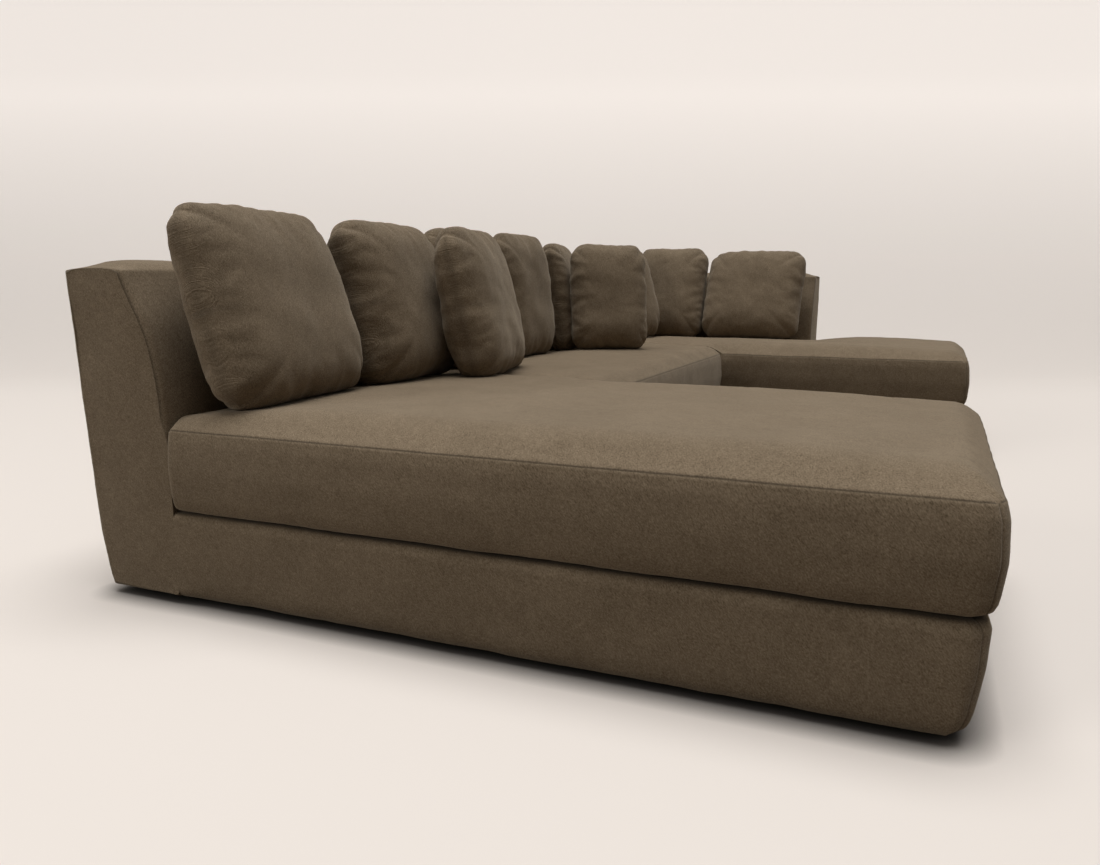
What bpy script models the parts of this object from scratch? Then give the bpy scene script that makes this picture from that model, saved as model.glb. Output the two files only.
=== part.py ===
"""U-shaped sectional sofa: a chaise, an armless middle and a corner section with an open end.

Metres, +Z up. The open side of the U faces -Y, the chaise is at -X and the corner section at +X.
The origin is on the floor, under the middle of the whole sofa. Each section is modelled in its own
frame, whose origin is the rear left corner of its plan on the floor, with its front at -Y.
"""

import math

import bmesh
import bpy
from mathutils import Matrix, Vector
from mathutils.bvhtree import BVHTree

# Plan of the three sections
CHAISE_WIDTH = 1.065
CHAISE_LENGTH = 1.995
MIDDLE_WIDTH = 1.624
MIDDLE_DEPTH = 0.943
CORNER_WIDTH = 0.950
CORNER_LENGTH = 2.020
SIDE_BACK_LENGTH = 1.262
SECTION_GAP = 0.0006

# Heights above the floor
FOOT_HEIGHT = 0.016
SEAM_HEIGHT = 0.430
BASE_HEIGHT = 0.213
BACK_SEAM_HEIGHT = 0.798

# Backs: a padded wedge that leans out. Each face is a list of (share of its height, bulge).
BACK_DEPTH_AT_SEAT = 0.230
BACK_DEPTH_AT_TOP = 0.192
BACK_OVERHANG = 0.068
BACK_OUTER_BULGE = ((0, -0.012), (0.05, 0.006), (0.45, 0.010), (0.92, 0.003), (1, 0))
BACK_INNER_BULGE = ((1, 0), (0.88, 0.004), (0.56, 0.036), (0.22, 0.020), (0.06, 0.002))
BACK_TOP_CROWN = 0.026
BACK_END_SWELL = 0.004
BACK_END_INSET = 0.012

# Seat cushions and bases: how far each side draws in, by share of its height
SEAT_CROWN = 0.054
FREE_EDGE_RUN = 0.14
JOINT_EDGE_DROP = 0.020
JOINT_EDGE_RUN = 0.10
BACK_EDGE_DROP = 0.030
BACK_EDGE_RUN = 0.40
SEAT_TUCK = {
    "front": ((0.0, 0.024), (0.14, 0.004), (0.80, 0.000), (1.0, 0.010)),
    "side": ((0.0, 0.022), (0.14, 0.004), (0.80, 0.000), (1.0, 0.010)),
    "joint": ((0.0, 0.006), (0.14, 0.001), (0.80, 0.000), (1.0, 0.006)),
}
BASE_TUCK = {
    "front": ((0.0, 0.046), (0.14, 0.030), (0.86, 0.012), (1.0, 0.020)),
    "side": ((0.0, 0.028), (0.14, 0.018), (0.86, 0.011), (1.0, 0.018)),
    "joint": ((0.0, 0.006), (0.14, 0.001), (0.86, 0.000), (1.0, 0.004)),
}
FRONT_TUCK = BASE_TUCK["front"][0][1]
CORNER_LOOP = 0.050
CORNER_CREASE = 0.45

# Timber frames, let into the padding from below
PADDING = 0.034
RAIL_THICKNESS = 0.028
BASE_RAIL_HEIGHT = 0.120
RAIL_PITCH = 0.36
BACK_RAIL_HEIGHT = 0.060
BACK_FRAME_DEPTH = 0.040
BACK_FRAME_SETBACK = 0.062
BACK_FRAME_TOP = 0.735
WEBBING_THICKNESS = 0.003
WEBBING_WIDTH = 0.060
DUST_COVER_THICKNESS = 0.001

# Feet and the plates that join the sections
FOOT_RADIUS = 0.026
FOOT_INSET = 0.085
PLATE_LENGTH = 0.160
PLATE_WIDTH = 0.045
PLATE_THICKNESS = 0.004
PLATE_INSET = 0.200

# Clearances
PIECE_GAP = 0.0003
REST_GAP = 0.0004
SWEEP_GAP = 0.006

SETTLING_STEPS = (0, 0.030, 0.004)
SETTLING_LIFT = 0.060
STAND_OFF = 0.450
THROW_RUN = 0.350

# Loose cushions: height and thickness of each
CUSHION_SIZES = {
    "chaise_cushion_left": (0.542, 0.185),
    "chaise_cushion_right": (0.528, 0.220),
    "middle_cushion_left": (0.539, 0.176),
    "middle_cushion_centre": (0.538, 0.144),
    "middle_cushion_right": (0.515, 0.143),
    "corner_cushion_rear": (0.533, 0.220),
    "side_cushion_rear": (0.546, 0.192),
    "side_cushion_front": (0.523, 0.190),
    "middle_cushion_turned": (0.509, 0.163),
    "corner_cushion_turned": (0.494, 0.149),
}

# The row along the backs: place and width as shares of the run they stand on, turn and lean in degrees
ROW_SHARES = {
    "chaise_cushion_left": ("chaise", 0.3097, 0.5831, -7.5, 16),
    "chaise_cushion_right": ("chaise", 0.8048, 0.4396, -1, 13),
    "middle_cushion_left": ("middle", 0.2075, 0.2709, 0.5, 15),
    "middle_cushion_centre": ("middle", 0.4860, 0.2880, -1, 5),
    "middle_cushion_right": ("middle", 0.7431, 0.2445, -13.5, 9),
    "corner_cushion_rear": ("corner", 0.3116, 0.4527, 21, 14.5),
    "side_cushion_rear": ("side", 0.3843, 0.3407, 91, 18.5),
    "side_cushion_front": ("side", 0.7575, 0.4342, 95.5, 19.5),
}

# The two in front of it: place along and across the middle section, width as a share of it, turn and lean
THROWN_SHARES = {
    "middle_cushion_turned": (0.0264, 0.6909, 0.3120, -12, 12),
    "corner_cushion_turned": (0.8548, 0.4002, 0.2179, 57.5, 10),
}

# How far each loose cushion slides out, and how many degrees more upright than it leans
LIFT = 0.30
RELEASE_TURN = 2.0

# Finish of each kind of piece: linear colour, roughness, metallic
FINISHES = {
    "upholstery": ((0.120, 0.086, 0.056), 0.95, 0.0),
    "timber": ((0.520, 0.360, 0.200), 0.65, 0.0),
    "webbing": ((0.060, 0.058, 0.055), 0.80, 0.0),
    "dust_cover": ((0.020, 0.020, 0.020), 0.90, 0.0),
    "foot": ((0.015, 0.015, 0.015), 0.45, 0.0),
    "steel": ((0.550, 0.550, 0.540), 0.35, 1.0),
}

# Heights worked out from the driving ones
SHEET_LOW = FOOT_HEIGHT + PIECE_GAP
BASE_LOW = SHEET_LOW + DUST_COVER_THICKNESS + PIECE_GAP
BASE_HIGH = BASE_LOW + BASE_HEIGHT
SEAT_LOW = BASE_HIGH + PIECE_GAP
RAIL_TOP = BASE_LOW + BASE_RAIL_HEIGHT
WEBBING_LOW = RAIL_TOP + PIECE_GAP
WEBBING_HIGH = WEBBING_LOW + WEBBING_THICKNESS

# Kinds of plan edge
FRONT = "front"
SIDE = "side"
JOINT = "joint"
BACK = "back"


def clear_scene():
    """Removes everything the file opened with."""
    for obj in list(bpy.data.objects):
        bpy.data.objects.remove(obj, do_unlink=True)
    for collection in list(bpy.data.collections):
        bpy.data.collections.remove(collection)


def new_collection(name):
    """Adds a collection to the scene."""
    collection = bpy.data.collections.new(name)
    bpy.context.scene.collection.children.link(collection)
    return collection


def new_empty(name, collection, parent=None, location=(0, 0, 0)):
    """Adds an empty that carries pieces."""
    empty = bpy.data.objects.new(name, None)
    collection.objects.link(empty)
    empty.parent = parent
    empty.location = location
    return empty


def paint(obj, kind):
    """Gives an object its own material, with the finish of its kind."""
    colour, roughness, metallic = FINISHES[kind]
    material = bpy.data.materials.new(obj.name)
    material.use_nodes = True
    shader = material.node_tree.nodes["Principled BSDF"]
    shader.inputs["Base Color"].default_value = (*colour, 1)
    shader.inputs["Roughness"].default_value = roughness
    shader.inputs["Metallic"].default_value = metallic
    material.diffuse_color = (*colour, 1)
    obj.data.materials.append(material)


def add_piece(name, bm, kind, parent, collection, levels=0):
    """Turns a bmesh into a named object, subdivided if it is a soft form."""
    bmesh.ops.recalc_face_normals(bm, faces=bm.faces)
    mesh = bpy.data.meshes.new(name)
    bm.to_mesh(mesh)
    bm.free()
    obj = bpy.data.objects.new(name, mesh)
    collection.objects.link(obj)
    obj.parent = parent
    if levels:
        mesh.shade_smooth()
        soften = obj.modifiers.new("soften", "SUBSURF")
        soften.levels = levels
        soften.render_levels = levels
    if kind:
        paint(obj, kind)
    return obj


def hide_cutter(obj):
    """Marks an object as a guide that only cuts others."""
    obj.hide_render = True
    obj.display_type = "WIRE"


def cut_away(obj, cutter):
    """Takes a cutter's shape out of an object."""
    hide_cutter(cutter)
    cut = obj.modifiers.new("cut_" + cutter.name, "BOOLEAN")
    cut.operation = "DIFFERENCE"
    cut.solver = "EXACT"
    cut.object = cutter


def crease(bm, edges, amount):
    """Sharpens some edges of a cage that is to be subdivided."""
    layer = bm.edges.layers.float["crease_edge"]
    for edge in edges:
        edge[layer] = amount


def new_cage():
    """An empty cage whose edges can be creased."""
    bm = bmesh.new()
    bm.edges.layers.float.new("crease_edge")
    return bm


def loop_cut(bm, axis, places):
    """Cuts the whole cage with planes square to one axis."""
    normal = Vector((0, 0, 0))
    normal[axis] = 1
    for place in places:
        geometry = bm.verts[:] + bm.edges[:] + bm.faces[:]
        bmesh.ops.bisect_plane(bm, geom=geometry, dist=1e-6, plane_co=normal * place, plane_no=normal)


def spread(low, high, pitch):
    """Evenly spaced places between two ends, no further apart than the pitch."""
    count = max(1, math.ceil((high - low) / pitch))
    return [low + (high - low) * i / count for i in range(1, count)]


def raise_outline(outline, low, high):
    """Draws a plan outline as one face and extrudes it upwards into a closed block."""
    bm = new_cage()
    face = bm.faces.new([bm.verts.new((x, y, low)) for x, y in outline])
    raised = bmesh.ops.extrude_face_region(bm, geom=[face])["geom"]
    top = [item for item in raised if isinstance(item, bmesh.types.BMVert)]
    bmesh.ops.translate(bm, vec=(0, 0, high - low), verts=top)
    return bm


class Plan:
    """A section's plan outline, drawn anticlockwise, with the kind of each side."""

    def __init__(self, corners, notch_y=math.inf):
        self.notch_y = notch_y
        self.outline = [Vector((x, y)) for x, y, kind in corners]
        self.sides = []
        for i, (x, y, kind) in enumerate(corners):
            start = Vector((x, y))
            end = Vector(corners[(i + 1) % len(corners)][:2])
            along = (end - start).normalized()
            inward = Vector((-along.y, along.x))
            self.sides.append((start, end, along, inward, kind))

    def span(self, axis):
        """The lowest and highest place along X or Y."""
        values = [corner[axis] for corner in self.outline]
        return min(values), max(values)

    def inset(self, amount):
        """The outline drawn in by an amount on every side."""
        corners = []
        for i, corner in enumerate(self.outline):
            shift = (self.sides[i][3] + self.sides[i - 1][3]) * amount
            corners.append(corner + shift)
        return corners

    def lines(self, axis, pitch):
        """Loop cuts: one beside every corner of the outline, and the rest evenly between."""
        stops = sorted({round(corner[axis], 6) for corner in self.outline})
        places = []
        for low, high in zip(stops, stops[1:]):
            if low != stops[0]:
                places.append(low)
            inner_low, inner_high = low + CORNER_LOOP, high - CORNER_LOOP
            places += [inner_low, *spread(inner_low, inner_high, pitch), inner_high]
        return places

    def distance(self, point, side):
        """How far a point is from one side, measured to its nearest point."""
        start, end, along = side[0], side[1], side[2]
        reach = min(max((point - start).dot(along), 0), (end - start).length)
        return (point - start - along * reach).length


def ease(share):
    """Rises from 0 to 1 with a level top, and stays there."""
    return math.sin(min(max(share, 0), 1) * math.pi / 2)


def read_steps(steps, share):
    """Reads a list of (share, value) steps, with straight runs between them."""
    for (low, start), (high, end) in zip(steps, steps[1:]):
        if share <= high:
            return start + (end - start) * (share - low) / (high - low)
    return steps[-1][1]


def tuck_sides(bm, plan, low, high, steps):
    """Draws the free and joined sides of a block in by height, and leaves those on a back flat."""
    moves = []
    for vert in bm.verts:
        point = Vector((vert.co.x, vert.co.y))
        share = (vert.co.z - low) / (high - low)
        push = Vector((0, 0))
        for side in plan.sides:
            if plan.distance(point, side) > 1e-5:
                continue
            amount = PIECE_GAP if side[4] == BACK else SECTION_GAP / 2 + read_steps(steps[side[4]], share)
            push += side[3] * amount
        moves.append((vert, push))
    for vert, push in moves:
        vert.co.x += push.x
        vert.co.y += push.y


def crown_height(plan, point):
    """How far a seat's top stands above its seam at a point of the plan."""
    drop = 0
    for side in plan.sides:
        away = plan.distance(point, side)
        if side[4] in (FRONT, SIDE):
            drop = max(drop, SEAT_CROWN * (1 - ease(away / FREE_EDGE_RUN)))
        elif side[4] == JOINT:
            drop = max(drop, JOINT_EDGE_DROP * (1 - ease(away / JOINT_EDGE_RUN)))
        else:
            drop = max(drop, BACK_EDGE_DROP * (1 - ease(away / BACK_EDGE_RUN)))
    return SEAT_CROWN - drop


def flat_edges(bm, height):
    """The outer edges of the level face at a height."""
    return [e for e in bm.edges if all(abs(v.co.z - height) < 1e-6 for v in e.verts)
            and any(abs(f.normal.z) < 0.5 for f in e.link_faces)]


def crease_uprights(bm, plan):
    """Sharpens a block's upright corner edges: softly where free, fully where it meets a neighbour."""
    for i, corner in enumerate(plan.outline):
        kinds = {plan.sides[i][4], plan.sides[i - 1][4]}
        amount = CORNER_CREASE if kinds <= {FRONT, SIDE} else 1
        for edge in bm.edges:
            if all((vert.co.xy - corner).length < 1e-5 for vert in edge.verts):
                crease(bm, [edge], amount)


def merge_flat(bm, height, plan):
    """Joins the faces at a height into one, or into two where the plan has a notch."""
    for group in (True, False):
        flat = [f for f in bm.faces if all(abs(v.co.z - height) < 1e-6 for v in f.verts)]
        faces = [f for f in flat if (f.calc_center_median().y > plan.notch_y) == group]
        bmesh.ops.dissolve_faces(bm, faces=faces)


def soft_block(name, plan, low, high, steps, pitch, parent, collection, crowned=False):
    """An upholstered block: loop-cut cage, tucked sides, and a crowned top if it is a seat."""
    bm = raise_outline(plan.outline, low, high)
    loop_cut(bm, 0, plan.lines(0, pitch))
    loop_cut(bm, 1, plan.lines(1, pitch))
    loop_cut(bm, 2, [low + (high - low) * share for share, inset in steps[JOINT][1:-1]])
    bm.normal_update()
    merge_flat(bm, low, plan)
    if not crowned:
        merge_flat(bm, high, plan)
    bm.normal_update()
    crease(bm, flat_edges(bm, low), 1)
    crease(bm, flat_edges(bm, high), 0.5 if crowned else 1)
    crease_uprights(bm, plan)
    if crowned:
        for vert in bm.verts:
            if abs(vert.co.z - high) < 1e-6:
                vert.co.z += crown_height(plan, Vector((vert.co.x, vert.co.y)))
    tuck_sides(bm, plan, low, high, steps)
    return add_piece(name, bm, "upholstery", parent, collection, levels=1)


def lattice(name, x_bars, y_bars, x_span, y_span, low, high, kind, parent, collection, keep_out=None):
    """A flat grid of crossing bars, cut as one piece: bars are (low, high) pairs on each axis."""
    bm = bmesh.new()
    corners = [(x_span[0], y_span[0]), (x_span[1], y_span[0]), (x_span[1], y_span[1]), (x_span[0], y_span[1])]
    bm.faces.new([bm.verts.new((x, y, low)) for x, y in corners])
    loop_cut(bm, 0, sorted({p for bar in x_bars for p in bar} - set(x_span)))
    loop_cut(bm, 1, sorted({p for bar in y_bars for p in bar} - set(y_span)))
    holes = []
    for face in bm.faces:
        centre = face.calc_center_median()
        on_bar = any(a < centre.x < b for a, b in x_bars) or any(a < centre.y < b for a, b in y_bars)
        if not on_bar or (keep_out and keep_out(centre)):
            holes.append(face)
    bmesh.ops.delete(bm, geom=holes, context="FACES")
    bmesh.ops.dissolve_limit(bm, angle_limit=0.01, verts=bm.verts, edges=bm.edges)
    raised = bmesh.ops.extrude_face_region(bm, geom=bm.faces[:])["geom"]
    top = [item for item in raised if isinstance(item, bmesh.types.BMVert)]
    bmesh.ops.translate(bm, vec=(0, 0, high - low), verts=top)
    return add_piece(name, bm, kind, parent, collection)


def grow(bars, amount):
    """Widens (low, high) bars by an amount on each side."""
    return [(low - amount, high + amount) for low, high in bars]


def ladder_bars(low, high, thickness, pitch):
    """Bars at both ends of a span and evenly between, no further apart than the pitch."""
    centres = [low + thickness / 2, *spread(low, high, pitch), high - thickness / 2]
    return [(c - thickness / 2, c + thickness / 2) for c in centres]


def build_base(section, plan, parent, collection, cutters, notch=None):
    """Base frame, webbing, padding and dust cover of one section."""
    x_low, x_high = plan.span(0)
    y_low, y_high = plan.span(1)
    x_span = (x_low + PADDING, x_high - PADDING)
    y_span = (y_low + FRONT_TUCK + PADDING, y_high - PADDING)
    x_pitch, y_pitch = RAIL_PITCH, RAIL_PITCH
    if y_span[1] - y_span[0] > x_span[1] - x_span[0]:
        x_pitch = (x_span[1] - x_span[0]) / 2 + RAIL_THICKNESS
    else:
        y_pitch = (y_span[1] - y_span[0]) / 2 + RAIL_THICKNESS
    x_bars = ladder_bars(*x_span, RAIL_THICKNESS, x_pitch)
    y_bars = ladder_bars(*y_span, RAIL_THICKNESS, y_pitch)
    if notch:
        notch_x, notch_y = notch[0] - PADDING, notch[1] - PADDING
        x_bars = [bar for bar in x_bars if abs(sum(bar) / 2 - notch_x) > 0.1]
        x_bars += [(notch_x - RAIL_THICKNESS, notch_x)]
        y_bars = [bar for bar in y_bars if abs(sum(bar) / 2 - notch_y) > 0.1]
        y_bars += [(notch_y - RAIL_THICKNESS, notch_y)]
        x_bars.sort()
        y_bars.sort()
    else:
        notch_x, notch_y = math.inf, math.inf

    def beyond(c):
        return c.x > notch_x and c.y > notch_y

    def beyond_grown(c):
        return c.x > notch_x + PIECE_GAP and c.y > notch_y + PIECE_GAP

    frame = lattice(section + "_base_frame", x_bars, y_bars, x_span, y_span, BASE_LOW, RAIL_TOP,
                    "timber", parent, collection, beyond)
    wide = (WEBBING_WIDTH - RAIL_THICKNESS) / 2
    long_in_y = y_span[1] - y_span[0] > x_span[1] - x_span[0]
    strips_x = x_bars if long_in_y else [(a - wide, b + wide) for a, b in bay_centres(x_bars)]
    strips_y = [(a - wide, b + wide) for a, b in bay_centres(y_bars)] if long_in_y else y_bars
    web_x = x_span if long_in_y else (strips_x[0][0], strips_x[-1][1])
    web_y = (strips_y[0][0], strips_y[-1][1]) if long_in_y else y_span
    webbing = lattice(section + "_webbing", strips_x, strips_y, web_x, web_y,
                      WEBBING_LOW, WEBBING_HIGH, "webbing", parent, collection, beyond)

    base = soft_block(section + "_base_upholstery", plan, BASE_LOW, BASE_HIGH, BASE_TUCK, 0.60,
                      parent, collection)
    g = PIECE_GAP
    frame_cutter = lattice(section + "_frame_pocket", grow(x_bars, g), grow(y_bars, g),
                           (x_span[0] - g, x_span[1] + g), (y_span[0] - g, y_span[1] + g),
                           BASE_LOW - 0.01, RAIL_TOP + g, None, parent, cutters, beyond_grown)
    webbing_cutter = lattice(section + "_webbing_pocket", grow(strips_x, g), grow(strips_y, g),
                             (web_x[0] - g, web_x[1] + g), (web_y[0] - g, web_y[1] + g),
                             RAIL_TOP, WEBBING_HIGH + g, None, parent, cutters, beyond_grown)
    cut_away(base, frame_cutter)
    cut_away(base, webbing_cutter)

    sheet = Plan([(x_low, y_low, FRONT), (x_high, y_low, JOINT), (x_high, 0, BACK), (x_low, 0, JOINT)])
    bm = raise_outline(sheet.inset(FRONT_TUCK + 0.010), SHEET_LOW, SHEET_LOW + DUST_COVER_THICKNESS)
    add_piece(section + "_dust_cover", bm, "dust_cover", parent, collection)
    return frame, webbing, base


def bay_centres(bars):
    """Bars of the same thickness in the middle of each bay between the given bars."""
    thickness = bars[0][1] - bars[0][0]
    middles = [(a[1] + b[0]) / 2 for a, b in zip(bars, bars[1:])]
    return [(m - thickness / 2, m + thickness / 2) for m in middles]


def back_profile(crown_share=1):
    """Cross-section of a back as (distance out, height) points, up the outside and down the inside."""
    low, seam, top = BASE_LOW, SEAM_HEIGHT, BACK_SEAM_HEIGHT
    top_inner = BACK_OVERHANG - BACK_DEPTH_AT_TOP
    outer = [(BACK_OVERHANG * share + bulge, low + (top - low) * share) for share, bulge in BACK_OUTER_BULGE]
    crown = [(BACK_OVERHANG - BACK_DEPTH_AT_TOP * share, top + BACK_TOP_CROWN * crown_share)
             for share in (0.25, 0.75)]
    slope = top_inner + BACK_DEPTH_AT_SEAT
    inner = [(-BACK_DEPTH_AT_SEAT + slope * share - bulge, seam + (top - seam) * share)
             for share, bulge in BACK_INNER_BULGE]
    lower = [(-BACK_DEPTH_AT_SEAT, h) for h in (seam - 0.03, low + 0.03, low)]
    return outer + crown + inner + lower, len(outer) - 1, len(outer) + len(crown)


def sweep_back(name, stations, free_ends, parent, collection):
    """Sweeps the back's section along stations of (base point, outward direction)."""
    bm = new_cage()
    rings = []
    for i, (point, outward) in enumerate(stations):
        at_end = (i == 0 and free_ends[0]) or (i == len(stations) - 1 and free_ends[1])
        profile, outer_seam, inner_seam = back_profile(0.25 if at_end else 1)
        ring = [bm.verts.new((point.x + outward.x * d, point.y + outward.y * d, z)) for d, z in profile]
        rings.append(ring)
    for ring in rings:
        for i, vert in enumerate(ring):
            bm.edges.new((vert, ring[(i + 1) % len(ring)]))
    for first, second in zip(rings, rings[1:]):
        loops = [e for e in bm.edges if set(e.verts) <= set(first) or set(e.verts) <= set(second)]
        bmesh.ops.bridge_loops(bm, edges=loops)
    for seam in (outer_seam, inner_seam):
        for first, second in zip(rings, rings[1:]):
            crease(bm, [bm.edges.get((first[seam], second[seam]))], 0.5)
    for place in (0, -1):
        for first, second in zip(rings, rings[1:]):
            crease(bm, [bm.edges.get((first[place], second[place]))], 0.6)
    for ring, (point, outward) in zip(rings, stations):
        if outward.length > 1.1:
            inside = ring[inner_seam:] + ring[:1]
            crease(bm, [bm.edges.get(pair) for pair in zip(inside, inside[1:])], 1)
            crease(bm, [bm.edges.get(pair) for pair in zip(ring[:inner_seam], ring[1:inner_seam + 1])], 0.6)
    for ring, outwards, free in zip((rings[0], rings[-1]), end_directions(stations), free_ends):
        cap = bm.faces.new(ring)
        crease(bm, cap.edges, 0.7 if free else 1)
        if free:
            bmesh.ops.inset_region(bm, faces=[cap], thickness=0.04, use_even_offset=True)
            bmesh.ops.translate(bm, verts=cap.verts, vec=outwards * BACK_END_SWELL)
    return add_piece(name, bm, "upholstery", parent, collection, levels=1)


def end_directions(stations):
    """Directions that point out of the two ends of a run of stations."""
    first = (stations[0][0] - stations[1][0]).normalized()
    last = (stations[-1][0] - stations[-2][0]).normalized()
    return Vector((*first, 0)), Vector((*last, 0))


def straight_stations(start, end, outward, pitch, loops=(True, True)):
    """Stations along a straight base line, with a close one beside each end."""
    along = (end - start).normalized()
    length = (end - start).length
    low = CORNER_LOOP if loops[0] else 0
    high = length - CORNER_LOOP if loops[1] else length
    places = [0] + ([low] if loops[0] else []) + spread(low, high, pitch)
    places += ([high] if loops[1] else []) + [length]
    return [(start + along * place, outward) for place in places]


def back_frame(name, start, end, outward, parent, collection, cutters):
    """Posts and rails of a back, in one upright plane, and the cutter of their pocket."""
    length = (end - start).length
    along = (end - start).normalized()
    span = (0, length)
    posts = ladder_bars(*span, BACK_RAIL_HEIGHT, 0.40)
    low = BASE_LOW
    rails = [(low, low + BACK_RAIL_HEIGHT), (SEAM_HEIGHT - BACK_RAIL_HEIGHT, SEAM_HEIGHT),
             (BACK_FRAME_TOP - BACK_RAIL_HEIGHT, BACK_FRAME_TOP)]
    turn = Matrix((
        (along.x, 0, -outward.x, start.x - outward.x * BACK_FRAME_SETBACK),
        (along.y, 0, -outward.y, start.y - outward.y * BACK_FRAME_SETBACK),
        (0, 1, 0, 0),
        (0, 0, 0, 1)))
    frame = lattice(name, posts, rails, span, (low, BACK_FRAME_TOP), 0, BACK_FRAME_DEPTH,
                    "timber", parent, collection)
    frame.data.transform(turn)
    g = PIECE_GAP
    tall_rails = [(low - 0.01, low + BACK_RAIL_HEIGHT + g)] + grow(rails[1:], g)
    cutter = lattice(name + "_pocket", grow(posts, g), tall_rails, (-g, length + g),
                     (low - 0.01, BACK_FRAME_TOP + g), -g, BACK_FRAME_DEPTH + g, None, parent, cutters)
    cutter.data.transform(turn)
    for obj in (frame, cutter):
        if turn.determinant() < 0:
            obj.data.flip_normals()
    return frame, cutter


def add_feet(section, places, parent, collection):
    """Low round glides under the base frame."""
    for i, (x, y) in enumerate(places):
        bm = bmesh.new()
        bmesh.ops.create_cone(bm, cap_ends=True, cap_tris=False, segments=14, radius1=FOOT_RADIUS * 0.86,
                              radius2=FOOT_RADIUS, depth=FOOT_HEIGHT)
        bmesh.ops.translate(bm, verts=bm.verts, vec=(0, 0, FOOT_HEIGHT / 2))
        foot = add_piece(section + "_foot_" + str(i + 1), bm, "foot", parent, collection)
        foot.location = (x, y, 0)


def add_plate(name, x, y, parent, collection):
    """A flat steel plate that joins two sections from below, with rounded ends."""
    bm = bmesh.new()
    bmesh.ops.create_cube(bm, size=1)
    bmesh.ops.scale(bm, vec=(PLATE_LENGTH, PLATE_WIDTH, PLATE_THICKNESS), verts=bm.verts)
    corners = [e for e in bm.edges if abs(e.verts[0].co.z - e.verts[1].co.z) > PLATE_THICKNESS / 2]
    bmesh.ops.bevel(bm, geom=corners, offset=PLATE_WIDTH * 0.32, segments=3, profile=0.5,
                    affect="EDGES")
    plate = add_piece(name, bm, "steel", parent, collection)
    plate.location = (x, y, SHEET_LOW - PIECE_GAP - PLATE_THICKNESS / 2)
    return plate


def pillow(name, width, height, thickness, parent, collection):
    """A loose cushion: two crowned faces on one seam, its sides drawn in between full corners."""
    bm = new_cage()
    bmesh.ops.create_cube(bm, size=2)
    for axis in (0, 2):
        loop_cut(bm, axis, (-0.62, 0, 0.62))
    loop_cut(bm, 1, (0,))
    for vert in bm.verts:
        u, w, v = vert.co
        edge = max(abs(u), abs(v))
        corner = abs(u * v)
        draw = 1 - 0.020 * (1 - min(abs(u), abs(v))) if edge > 0.99 else 1
        pull = 1 - (0.055 * corner if edge > 0.99 else 0)
        face_pull = 1 - 0.075 * abs(w) * (edge > 0.99)
        belly = 1.0 - 0.13 * v
        fall = 1 - 0.46 * (edge > 0.99) - 0.06 * (edge > 0.5)
        vert.co.x = u * width / 2 * draw * pull * face_pull
        vert.co.z = v * height / 2 * draw * pull * face_pull
        vert.co.y = w * thickness / 2 * fall * belly * 1.12
    seam = [e for e in bm.edges if all(abs(v.co.y) < 1e-6 for v in e.verts)]
    crease(bm, seam, 0.25)
    return add_piece(name, bm, "upholstery", parent, collection, levels=1)


def world_bmesh(obj):
    """An object's finished mesh in the root's frame."""
    graph = bpy.context.evaluated_depsgraph_get()
    evaluated = obj.evaluated_get(graph)
    mesh = evaluated.to_mesh()
    bm = bmesh.new()
    bm.from_mesh(mesh)
    evaluated.to_mesh_clear()
    bm.transform(obj.matrix_world)
    return bm


def samples(bm):
    """Points all over a mesh: its vertices, and three along each edge of its triangles."""
    copy = bm.copy()
    bmesh.ops.triangulate(copy, faces=copy.faces)
    points = [v.co.copy() for v in copy.verts]
    for edge in copy.edges:
        a, b = edge.verts[0].co, edge.verts[1].co
        points += [a.lerp(b, share) for share in (0.25, 0.5, 0.75)]
    copy.free()
    return points


def travel(moving, fixed, direction, reach=1.2):
    """How far a mesh can move in a direction before it meets one of the fixed ones."""
    tree = BVHTree.FromBMesh(moving)
    nearest = reach
    for points, other in fixed:
        for point in samples(moving):
            hit = other.ray_cast(point, direction, nearest)
            if hit[0] is not None:
                nearest = min(nearest, hit[3])
        for point in points:
            hit = tree.ray_cast(point, -direction, nearest)
            if hit[0] is not None:
                nearest = min(nearest, hit[3])
    return nearest


def obstacles(objects, sweep=None):
    """Meshes that a cushion may rest on, with those that slide drawn along their travel."""
    fixed = []
    for obj in objects:
        bm = world_bmesh(obj)
        fixed.append((samples(bm), BVHTree.FromBMesh(bm)))
        for share in (0.2, 0.4, 0.6, 0.8, 1) if sweep and obj in sweep else ():
            moved = bm.copy()
            bmesh.ops.translate(moved, verts=moved.verts, vec=sweep[obj] * share)
            fixed.append((samples(moved), BVHTree.FromBMesh(moved)))
            moved.free()
        bm.free()
    return fixed


def approach(obj, fixed, direction, gap):
    """Moves an object in a direction until it is a gap away from the fixed ones."""
    bpy.context.view_layer.update()
    bm = world_bmesh(obj)
    obj.location += direction * (travel(bm, fixed, direction) - gap)
    bm.free()


def settle(obj, seats, leaning_on, back, gap):
    """Sets a cushion down on the seat and slides it back until it leans on something.

    It is drawn up and forwards a little and set down again, because the seat falls towards the back.
    """
    for step in SETTLING_STEPS:
        obj.location -= back * step
        obj.location.z += SETTLING_LIFT
        approach(obj, seats, Vector((0, 0, -1)), REST_GAP)
        approach(obj, leaning_on, back, gap)
    bpy.context.view_layer.update()


def stand_cushion(name, place, facing, lean, size, parent, collection):
    """Makes a cushion and stands it on end, turned from -Y towards -X and leaning back."""
    obj = pillow(name, *size, parent, collection)
    obj.rotation_euler = (math.radians(-lean), 0, math.radians(-facing))
    obj.location = (place[0], place[1], SEAM_HEIGHT + SEAT_CROWN + size[1] / 2 + 0.05)
    return obj


def backwards(facing):
    """The level direction behind a cushion that faces a given way."""
    return Vector((math.sin(math.radians(facing)), math.cos(math.radians(facing)), 0))


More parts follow.
